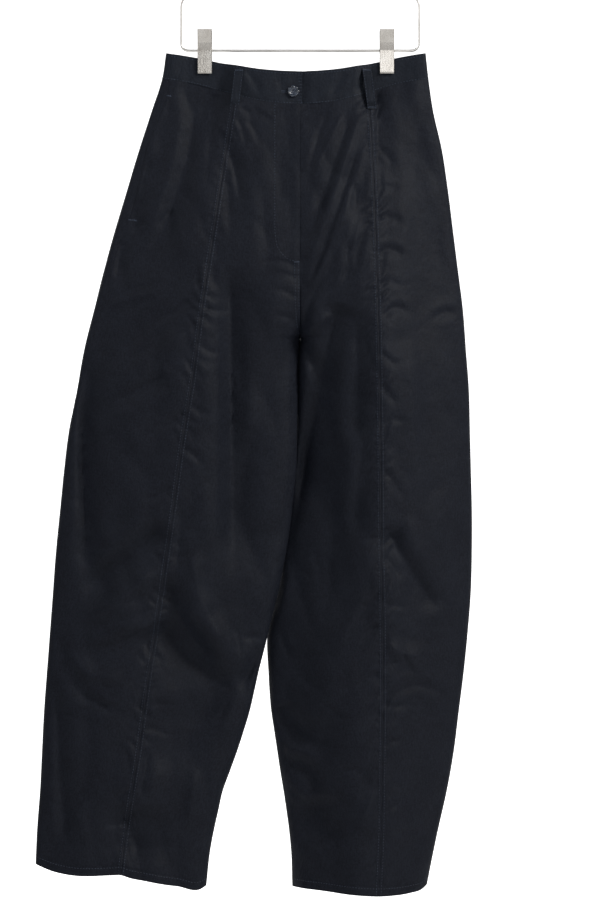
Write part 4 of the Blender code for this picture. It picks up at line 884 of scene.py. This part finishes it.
def laid_on(grid, xs, drops, facing=-1):
    """The points of a grid straight behind these places on its front, or before them on its back."""
    rows, columns = grid.shape[:2]
    index = np.arange(rows * columns).reshape(rows, columns)
    quads = np.stack([index[:-1, :-1], index[:-1, 1:], index[1:, 1:], index[1:, :-1]], -1).reshape(-1, 4)
    tree = BVHTree.FromPolygons(grid.reshape(-1, 3).tolist(), quads.tolist())
    ahead = Vector((0, facing, 0))
    found = [tree.ray_cast(Vector((x, 0, -drop)) + 300 * ahead, -ahead)[0] for x, drop in zip(xs, drops)]
    return np.array([place + OVER_CLOTH * ahead for place in found if place is not None])


def bar_tack(grid, ends):
    """A bar of close slanting stitches between two places."""
    (x1, d1), (x2, d2) = ends
    share = np.linspace(0, 1, 19)
    run_x, run_d = x2 - x1, d2 - d1
    slant = TACK_HALF * (-1) ** np.arange(19) / math.hypot(run_x, run_d)
    return laid_on(grid, x1 + share * run_x - run_d * slant, d1 + share * run_d + run_x * slant)


row_of_stitches = stitch_group()
sewing_thread = spun_polyester("spun polyester sewing thread")
SEAM_STITCH, HEM_STITCH, CENTRE_STITCHES = 3.5, 10.0, (2.0, 7.0)
crotch = int(np.argmin(abs(ROW_SHARES - CROTCH_ROW)))
fly_end = int(np.argmin(abs(GRIDS[RIGHT][0][:, 0, 2] + FLY_END_DROP)))
for name, panel in panels.items():
    grid = CLOTH[name]
    rows = [beside(grid, HEM_STITCH, "last", up=True)]
    if "back" not in name:
        rows.append(beside(grid, SEAM_STITCH, "last" if "centre" in name else "first")[3:-2])
    if name == "front_centre_right":
        rows += [beside(grid, far)[fly_end : crotch - 1] for far in CENTRE_STITCHES]
        count = np.arange(len(FLY_STITCH["x"]))
        steps = np.linspace(0, count[-1], 90)
        rows.append(laid_on(grid, *(smooth(count, FLY_STITCH[column], steps) for column in ("x", "drop"))))
    if name == "back_right":
        rows += [beside(grid, far, "last")[3 : crotch - 1] for far in CENTRE_STITCHES]
    pieces = [stitches(f"stitches_{name}", rows, "panel_cotton", name)]
    bars = [bar_tack(grid, ends) for panel_name, *ends in BAR_TACKS if panel_name == name]
    if bars:
        pieces.append(stitches(f"tacks_{name}", bars, "panel_cotton", name, **TACK_STITCH))
    width, length, area = CUTS[name]

# The waistband is the same cotton folded double over a stiff lining, in two fronts and a back. The right
# front laps over the left and carries the buttonhole. Its top edge is a fold, stitched close to the edge.
BAND_WALL, BAND_PROUD, BAND_INSET = 1.9, 0.5, 0.1
TOP_STITCH, LOW_STITCH, LAP_STITCHES = 3.9, 1.3, (1.1, 3.6)     # from top edge, seam and the lap's end
LAP, UNDERLAP = 2.6, 30.0
BAND_ROWS = np.concatenate([[0, 0.012, 0.03, 0.055], np.linspace(0.08, 0.97, 24), [0.985, 1.0]])
band_cotton = crisp_cotton("navy cotton satin, folded and pressed", "1e222a", "161920", 0.58)


def band_point(side, turn, share, under=0.0):
    """The waistband's outside, share 0 at its top and 1 at its seam. `turn` is as in cloth_point."""
    if turn < 0:
        side, turn = (LEFT if side == RIGHT else RIGHT), -turn
    back = turn > 1
    across = 2 - turn if back else turn
    top = smooth(BAND["across"], BAND["top"], across)
    seam = smooth(WAIST["across"], WAIST["drop"], across) - 0.1
    drop = top + share * (seam - top)
    width = outline(side, BAND["top"][-1] + share * (WAIST["drop"][-1] - BAND["top"][-1]))
    out = across * width
    x = (-1 if side == RIGHT else 1) * out
    depth = half_depth(side, back, across, out, drop, width, np.zeros(share.shape)) - under
    edge = np.clip(60 * (1 - across), 0, 1)
    free = 1 - 0.9 * pinch(side, out, drop)
    fold = 0.55 * crumple(x, drop, 61 + back, 34, 1.2) + 0.36 * bump(drop - top - 4.2, 0.9)
    fold = fold + 0.5 * bump(seam - drop - 1.8, 0.8)
    if not back:
        fold = fold + fold_depth(BAND_CREASES, side, x, drop)
    rolled = 0.9 * (1 - np.sqrt(1 - np.clip(1 - (drop - top) / 1.4, 0, 1) ** 2))
    y = depth + (BAND_PROUD - fold * free - rolled) * edge
    return np.stack([x, y if back else -y, -drop], -1)


def waistband(name, columns, before, after, node):
    """A band piece from its columns, (side, turn, under) each, `before` and `after` of them past its ends."""
    outside = np.stack([band_point(side, turn, BAND_ROWS, under) for side, turn, under in columns], axis=1)
    across = along(outside, 1)
    normals = unit(np.cross(across, along(outside, 0)))
    facing = -1 if outside[..., 1].mean() < 0 else 1
    if (normals[..., 1] * facing).sum() < 0:
        normals = -normals
    kept = slice(before, outside.shape[1] - after)
    outside, normals, step = outside[:, kept], normals[:, kept], unit(across)[:, kept]
    outside[:, 0] += step[:, 0] * BAND_INSET
    outside[:, -1] -= step[:, -1] * BAND_INSET
    return outside, sew(name, outside, outside - normals * BAND_WALL, band_cotton, "band_cotton", node)


BAND_CREASES = table(
    "name side x1 d1 x2 d2 x3 d3 left right depth start end",
    ("by the right loop", RIGHT, -114, 212, -103, 224, -92, 240, 4, 5, 2.3, 0.2, 0.3),
    ("by the right loop, fainter", RIGHT, -70, 206, -60, 220, -50, 242, 4, 5, 1.8, 0.2, 0.3),
    ("under the button", RIGHT, -30, 214, -24, 226, -22, 240, 5, 5, 1.2, 0.3, 0.3),
    ("by the left loop", LEFT, 60, 208, 50, 222, 40, 240, 5, 4, 2.0, 0.2, 0.3),
    ("from the left clip", LEFT, 96, 206, 84, 220, 70, 240, 5, 4, 2.2, 0.1, 0.3),
    ("at the left side", LEFT, 140, 200, 146, 212, 150, 226, 5, 5, 1.4, 0.3, 0.3),
    ("at the right side", RIGHT, -152, 198, -158, 212, -164, 226, 5, 5, 1.4, 0.3, 0.3),
)


def band_rows(grid):
    """The rows of stitches along a band's top edge and just over its seam."""
    return [beside(grid, TOP_STITCH, up=True), beside(grid, LOW_STITCH, "last", up=True)]


BANDS = {}
BUTTON_DROP, HOLE_HALF, HOLE_ENDS = 233.1, 0.85, (-24.2, -2.0)
turns = {side: section_turns(side, 0.0) for side in (RIGHT, LEFT)}
lap = LAP / outline(RIGHT, 215.0)
columns = [(RIGHT, t, 0.0) for t in (-lap, -lap * 2 / 3, -lap / 3, *turns[RIGHT][: EDGE_COLUMN + 2])]
BANDS["front_right"], piece = waistband("band_front_right", columns, 0, 1, "waistband_front_right")
lap_end = [beside(BANDS["front_right"], far)[2:-1] for far in LAP_STITCHES]
rows = [*band_rows(BANDS["front_right"]), *lap_end]
sewn = [stitches("stitches_band_front_right", rows, "band_cotton", "waistband_front_right")]
for edge, far in (("upper", -HOLE_HALF), ("lower", HOLE_HALF)):
    bar = laid_on(BANDS["front_right"], np.linspace(*HOLE_ENDS, 40), np.full(40, BUTTON_DROP + far))
    sewn.append(stitches(
        f"buttonhole_{edge}", [bar], "band_cotton", "waistband_front_right", pitch=0.75, length=1.2,
    ))
under = BAND_WALL + 0.4
width = outline(LEFT, 215.0)
columns = [(LEFT, -UNDERLAP * (8 - i) / 8 / width, under) for i in range(8)]
outs = (LAP + 0.8, LAP + 2.5, LAP + 4, LAP + 6, LAP + 8, LAP + 10)
columns += [(LEFT, out / width, under * (1 - ramp(LAP + 0.8, LAP + 12, out))) for out in outs]
columns += [(LEFT, t, 0.0) for t in turns[LEFT][: EDGE_COLUMN + 2] if t * width > LAP + 12]
BANDS["front_left"], piece = waistband("band_front_left", columns, 0, 1, "waistband_front_left")
rows = band_rows(BANDS["front_left"])
sewn = [stitches("stitches_band_front_left", rows, "band_cotton", "waistband_front_left")]
columns = [(RIGHT, t, 0.0) for t in turns[RIGHT][EDGE_COLUMN - 1 :]]
columns += [(LEFT, t, 0.0) for t in turns[LEFT][EDGE_COLUMN - 1 : -1][::-1]]
BANDS["back"], piece = waistband("band_back", columns, 1, 1, "waistband_back")
sewn = [stitches("stitches_band_back", band_rows(BANDS["back"]), "band_cotton", "waistband_back")]


# Five belt loops, strips of the same cotton folded to 12 mm, tacked at the band's top and below its seam.
# They stand off between the tacks, and a row of stitches runs close to each of their edges.
LOOP_WALL, LOOP_STAND, LOOP_HALF = 1.3, 3.1, 6.0
LOOP_STITCH, LOOP_TACK, LOOP_TACK_IN = 1.5, 4.6, 2.2       # rows from the edges, tacks' reach and place


def surface_depth(side, back, out, drop):
    """The outside of band or panel near the waist, for what lies on it."""
    width = outline(side, drop)
    depth = half_depth(side, back, out / width, out, drop, width, np.zeros(1))
    x = np.array([(-1 if side == RIGHT else 1) * out])
    folds = fold_depth(FOLDS_BACK if back else FOLDS_FRONT, side, x, np.array([drop]))
    return float((depth - folds * ramp(232, 244, drop))[0])


def belt_loop(name, side, back, top, end):
    halves = LOOP_HALF * np.array([-1, -0.96, -0.8, -0.62, -0.4, 0, 0.4, 0.62, 0.8, 0.96, 1])
    profile = np.array([0.55, 0.12, 0.0, 0.22, 0.05, 0, 0.05, 0.22, 0.0, 0.12, 0.55])
    sign, facing = (-1 if side == RIGHT else 1), (1 if back else -1)
    outside, inside = [], []
    for share in np.linspace(0, 1, 45):
        out = top[0] + share * (end[0] - top[0])
        drop = top[1] + share * (end[1] - top[1])
        lying = np.array([surface_depth(side, back, abs(out + half), drop) for half in halves])
        next_to = max(surface_depth(side, back, abs(out + half), drop) for half in (-10.0, 10.0))
        off = ramp(0, 0.2, share) * ramp(0, 0.2, 1 - share)
        lift = lying * (1 - off) + (max(lying.max(), next_to) + LOOP_STAND) * off + BAND_PROUD + 0.85
        lift = lift + 0.25 * crumple(share * 50, out, 71, 18) * off
        for rows, more in ((outside, LOOP_WALL - profile), (inside, 0 * profile)):
            y = facing * (lift + more)
            rows.append(np.stack([sign * (out + halves), y, 0 * y - drop], -1))
    piece = sew(f"cloth_{name}", np.array(outside), np.array(inside), loop_cotton, "loop_cotton", name)
    grid = np.array(outside)
    rows = [beside(grid, LOOP_STITCH, edge)[1:-1] for edge in ("first", "last")]
    sewn = [stitches(f"stitches_{name}", rows, "loop_cotton", name)]
    across, slant = np.linspace(-LOOP_TACK, LOOP_TACK, 15), 0.7 * (-1) ** np.arange(15)
    bars = [
        laid_on(grid, sign * (out + across), drop + into + slant, facing)
        for (out, drop), into in ((top, LOOP_TACK_IN), (end, -LOOP_TACK_IN))
    ]
    sewn.append(stitches(f"tacks_{name}", bars, "loop_cotton", name, **TACK_STITCH))


loop_cotton = crisp_cotton("navy cotton satin, folded in a strip", "1e222a", "161920", 0.58)
belt_loop("loop_front_right", RIGHT, False, (79.0, 203.5), (85.0, 254.5))
belt_loop("loop_front_left", LEFT, False, (86.5, 202.5), (93.5, 255.5))
belt_loop("loop_back_right", RIGHT, True, (84.0, 203.5), (87.0, 254.5))
belt_loop("loop_back_left", LEFT, True, (82.0, 203.5), (85.0, 254.5))
belt_loop("loop_back_centre", LEFT, True, (0.0, 207.5), (0.0, 258.5))


# The button is cast polyester, 15.4 mm across, with a notched rim like a flower and a dished middle with
# four holes. It is sewn on with a shank, so it stands a little off the band.
BUTTON_OUT, BUTTON_CLEAR = 8.7, 1.0
BUTTON_LOBES, BUTTON_SIDES = 7, 98
HOLE_RADIUS, HOLE_REACH, HOLE_SIDES = 0.8, 1.3, 24
button_rows = table(
    "radius height lobes",
    (3.0, 1.65, 0), (4.0, 1.8, 0), (4.5, 2.3, 0.01), (4.9, 2.9, 0.02), (5.4, 3.3, 0.03),
    (6.1, 3.45, 0.045), (6.8, 3.25, 0.06), (7.3, 2.8, 0.07), (7.65, 2.1, 0.075), (7.6, 1.2, 0.075),
    (7.1, 0.4, 0.06), (6.0, 0.0, 0.03),
)


def cast_button(name, x, base, z, material):
    turn = np.linspace(0, 2 * math.pi, BUTTON_SIDES, endpoint=False)
    notch = abs(np.cos(BUTTON_LOBES / 2 * turn + 0.4)) ** 0.7
    points, faces = [(x, base - 1.6, z)], []
    for radius, height, lobes in zip(button_rows["radius"], button_rows["height"], button_rows["lobes"]):
        wave = radius * (1 - lobes * (1 - notch) * 1.6)
        dip = 0.9 * lobes / 0.075 * (1 - notch) * (height > 1.5)
        points += list(zip(x + wave * np.cos(turn), base - height + dip, z + wave * np.sin(turn)))
    points.append((x, base, z))
    last = len(points) - 1
    for i in range(BUTTON_SIDES):
        j = (i + 1) % BUTTON_SIDES
        faces.append((0, 1 + i, 1 + j))
        for ring in range(len(button_rows["radius"]) - 1):
            low = 1 + ring * BUTTON_SIDES
            faces.append((low + i, low + BUTTON_SIDES + i, low + BUTTON_SIDES + j, low + j))
        rim = 1 + (len(button_rows["radius"]) - 1) * BUTTON_SIDES
        faces.append((rim + i, last, rim + j))
    mesh = bpy.data.meshes.new(name)
    mesh.from_pydata((np.array(points) / 1000).tolist(), [], faces)
    mesh.materials.append(material)
    button = put(name, mesh)
    turn = np.linspace(0, 2 * math.pi, HOLE_SIDES, endpoint=False)
    ends = [(i, (i + 1) % HOLE_SIDES) for i in range(HOLE_SIDES)]
    faces = [tuple(range(HOLE_SIDES)), tuple(range(HOLE_SIDES, 2 * HOLE_SIDES))[::-1]]
    faces += [(i + HOLE_SIDES, j + HOLE_SIDES, j, i) for i, j in ends]
    for hole_x, hole_z in ((-1, -1), (1, -1), (1, 1), (-1, 1)):
        ring_x = x + HOLE_REACH * hole_x + HOLE_RADIUS * np.cos(turn)
        ring_z = z + HOLE_REACH * hole_z + HOLE_RADIUS * np.sin(turn)
        points = np.concatenate([np.stack([ring_x, 0 * turn + y, ring_z], -1) for y in (base - 6, base + 2)])
        mesh = bpy.data.meshes.new("button hole")
        mesh.from_pydata((points / 1000).tolist(), [], faces)
        hole = put("button hole", mesh)
        cut = button.modifiers.new("hole", "BOOLEAN")
        cut.operation, cut.solver, cut.object = "DIFFERENCE", "EXACT", hole
        done = bpy.data.meshes.new_from_object(button.evaluated_get(bpy.context.evaluated_depsgraph_get()))
        button.modifiers.clear()
        button.data = done
        bpy.data.objects.remove(hole)
    button.data.shade_smooth()
    button.data.set_sharp_from_angle(angle=math.radians(42))
    return button


def cast_polyester(name):
    """Glossy dark blue-grey resin, marbled."""
    material, tree, resin = blank_material(name)
    resin.inputs["Roughness"].default_value = 0.16
    resin.inputs["IOR"].default_value = 1.54
    resin.inputs["Coat Weight"].default_value = 0.3
    at = add(tree, "ShaderNodeTexCoord").outputs["Object"]
    noise = add(tree, "ShaderNodeTexNoise", Vector=at, Scale=420.0, Detail=4.0, Distortion=1.2)
    marble = noise.outputs["Fac"]
    colours = ((0.40, "14171d"), (0.70, "4a5363"))
    add(tree, "ShaderNodeValToRGB", stops=colours, into=resin.inputs["Base Color"], Fac=marble)
    add(tree, "ShaderNodeBump", into=resin.inputs["Normal"], Height=marble, Strength=0.25, Distance=0.0004)
    return material


button_base = -(surface_depth(RIGHT, False, BUTTON_OUT, BUTTON_DROP) + BAND_PROUD + BUTTON_CLEAR)
polished = cast_polyester("cast polyester, polished")
button = cast_button("cast_button", -BUTTON_OUT, button_base, -BUTTON_DROP, polished)
on_root(button, "button_plastic", "button")
xs = np.linspace(-HOLE_REACH - 0.2, HOLE_REACH + 0.2, 5)
y = button_base - 1.75 - 0.35 * (1 - (xs / 1.5) ** 2)
bars = [
    np.stack([xs - BUTTON_OUT, y, 0 * xs - BUTTON_DROP + z + k], -1)
    for z in (-HOLE_REACH, HOLE_REACH) for k in (-0.32, 0.0, 0.32)
]
stitches("button_thread", bars, "button_plastic", "button", pitch=1.5, length=2.4)



# The hanger is bent steel wire, plated and satin, with two pressed steel clips on its bar. Each clip is two
# jaw plates round a coiled spring, with a rubber lip inside each foot.
def plated_steel(name, light, dark, rough, grain):
    """Nickel-plated steel, brushed before plating: fine lines along the grain, and faint clouding."""
    material, tree, steel = blank_material(name)
    steel.inputs["Metallic"].default_value = 1.0
    at = add(tree, "ShaderNodeTexCoord").outputs["Object"]
    drawn = add(tree, "ShaderNodeMapping", Vector=at, Scale=grain).outputs["Vector"]
    lines = add(tree, "ShaderNodeTexNoise", Vector=drawn, Scale=1.0, Detail=4.0).outputs["Fac"]
    cloud = add(tree, "ShaderNodeTexNoise", Vector=at, Scale=60.0, Detail=2.0).outputs["Fac"]
    both = add(tree, "ShaderNodeMath", {"operation": "ADD"}, i0=lines, i1=cloud).outputs[0]
    shade = add(tree, "ShaderNodeMapRange", Value=both, From_Min=0.7, From_Max=1.3)
    mixed = add(tree, "ShaderNodeMix", {"data_type": "RGBA"}, Factor=shade.outputs["Result"])
    mixed.inputs["A"].default_value, mixed.inputs["B"].default_value = linear(dark), linear(light)
    tree.links.new(mixed.outputs["Result"], steel.inputs["Base Color"])
    add(
        tree, "ShaderNodeMapRange", into=steel.inputs["Roughness"], Value=lines,
        To_Min=rough - 0.06, To_Max=rough + 0.08,
    )
    add(tree, "ShaderNodeBump", into=steel.inputs["Normal"], Height=lines, Strength=0.2, Distance=0.0002)
    return material


def moulded_rubber(name):
    """Black rubber from a mould: matt, slightly uneven."""
    material, tree, rubber = blank_material(name)
    rubber.inputs["Roughness"].default_value = 0.7
    at = add(tree, "ShaderNodeTexCoord").outputs["Object"]
    mottle = add(tree, "ShaderNodeTexNoise", Vector=at, Scale=900.0, Detail=3.0).outputs["Fac"]
    colours = ((0.0, "16171a"), (1.0, "2a2b2f"))
    add(tree, "ShaderNodeValToRGB", stops=colours, into=rubber.inputs["Base Color"], Fac=mottle)
    add(tree, "ShaderNodeBump", into=rubber.inputs["Normal"], Height=mottle, Strength=0.3, Distance=0.0002)
    return material


wire_steel = plated_steel("satin nickel-plated wire", "efedea", "d6d3ce", 0.34, (900.0, 900.0, 900.0))
plate_steel = plated_steel("brushed nickel-plated plate", "f6f2ec", "d6d0c8", 0.26, (1500.0, 1500.0, 60.0))
lip_rubber = moulded_rubber("moulded rubber")
for name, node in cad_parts.items():
    if name.startswith(("hanger", "clip")):
        steel = wire_steel if name.startswith("hanger") else plate_steel
        for used in node.material_slots:
            used.material = lip_rubber if "_lip_" in name else steel


# The studio: a pale floor and backdrop well clear of the legs, a large soft light from the upper right, a
# weaker one from the left, one by the camera that the clips mirror, and one behind for the edges. The camera
# looks straight on from far off, so that the sides hang parallel.
def stage_plane(name, corners, colour, glow):
    mesh = bpy.data.meshes.new(name)
    mesh.from_pydata(corners, [], [(0, 1, 2, 3)])
    material, _, paper = blank_material(name)
    paper.inputs["Base Color"].default_value = linear(colour)
    paper.inputs["Roughness"].default_value = 0.9
    paper.inputs["Emission Color"].default_value = linear(colour)
    paper.inputs["Emission Strength"].default_value = glow
    mesh.materials.append(material)
    put(name, mesh)


def soft_light(name, place, aim, size, power, colour):
    light = bpy.data.lights.new(name, "AREA")
    light.shape, light.size, light.energy, light.color = "SQUARE", size, power, linear(colour)[:3]
    lamp = put(name, light)
    lamp.location = place
    lamp.rotation_euler = (Vector(aim) - Vector(place)).to_track_quat("-Z", "Y").to_euler()


FLOOR_Z, BACK_Y, WIDE, NEAR_Y, TOP_Z = -2.75, 12.0, 20.0, -16.0, 12.0
foot = [(-WIDE, BACK_Y, FLOOR_Z), (WIDE, BACK_Y, FLOOR_Z)]       # where floor and backdrop meet
stage_plane("floor", [(-WIDE, NEAR_Y, FLOOR_Z), (WIDE, NEAR_Y, FLOOR_Z), *foot[::-1]], "e6e6e6", 0.3)
stage_plane("backdrop", [*foot, (WIDE, BACK_Y, TOP_Z), (-WIDE, BACK_Y, TOP_Z)], "ffffff", 1.05)
soft_light("key light", (2.05, -1.6, 1.15), (0, 0, -0.5), 1.0, 83, "fffdf8")
soft_light("fill light", (-1.9, -1.1, 0.7), (-0.15, 0, -0.45), 1.3, 16, "f6f9ff")
soft_light("light by the camera", (1.3, -5.6, 0.45), (0, 0, -0.2), 2.2, 34, "ffffff")
soft_light("back light", (-1.6, 2.2, 0.9), (0, 0, -0.7), 1.4, 45, "ffffff")
world = bpy.data.worlds.new("studio air")
world.use_nodes = True
world.node_tree.nodes["Background"].inputs["Color"].default_value = linear("ffffff")
world.node_tree.nodes["Background"].inputs["Strength"].default_value = 0.16
bpy.context.scene.world = world
bpy.context.scene.view_settings.view_transform = "Standard"

FRAME_HEIGHT, FRAME_MIDDLE_Z, CAMERA_AWAY = 1.170, -0.698, 5.0     # what the picture takes in, in metres
lens = bpy.data.cameras.new("camera")
lens.sensor_width = 36.0
lens.lens = lens.sensor_width * CAMERA_AWAY / FRAME_HEIGHT
camera = put("camera", lens)
camera.location = (0, -CAMERA_AWAY, FRAME_MIDDLE_Z)
camera.rotation_euler = (math.radians(90), 0, 0)
bpy.context.scene.camera = camera
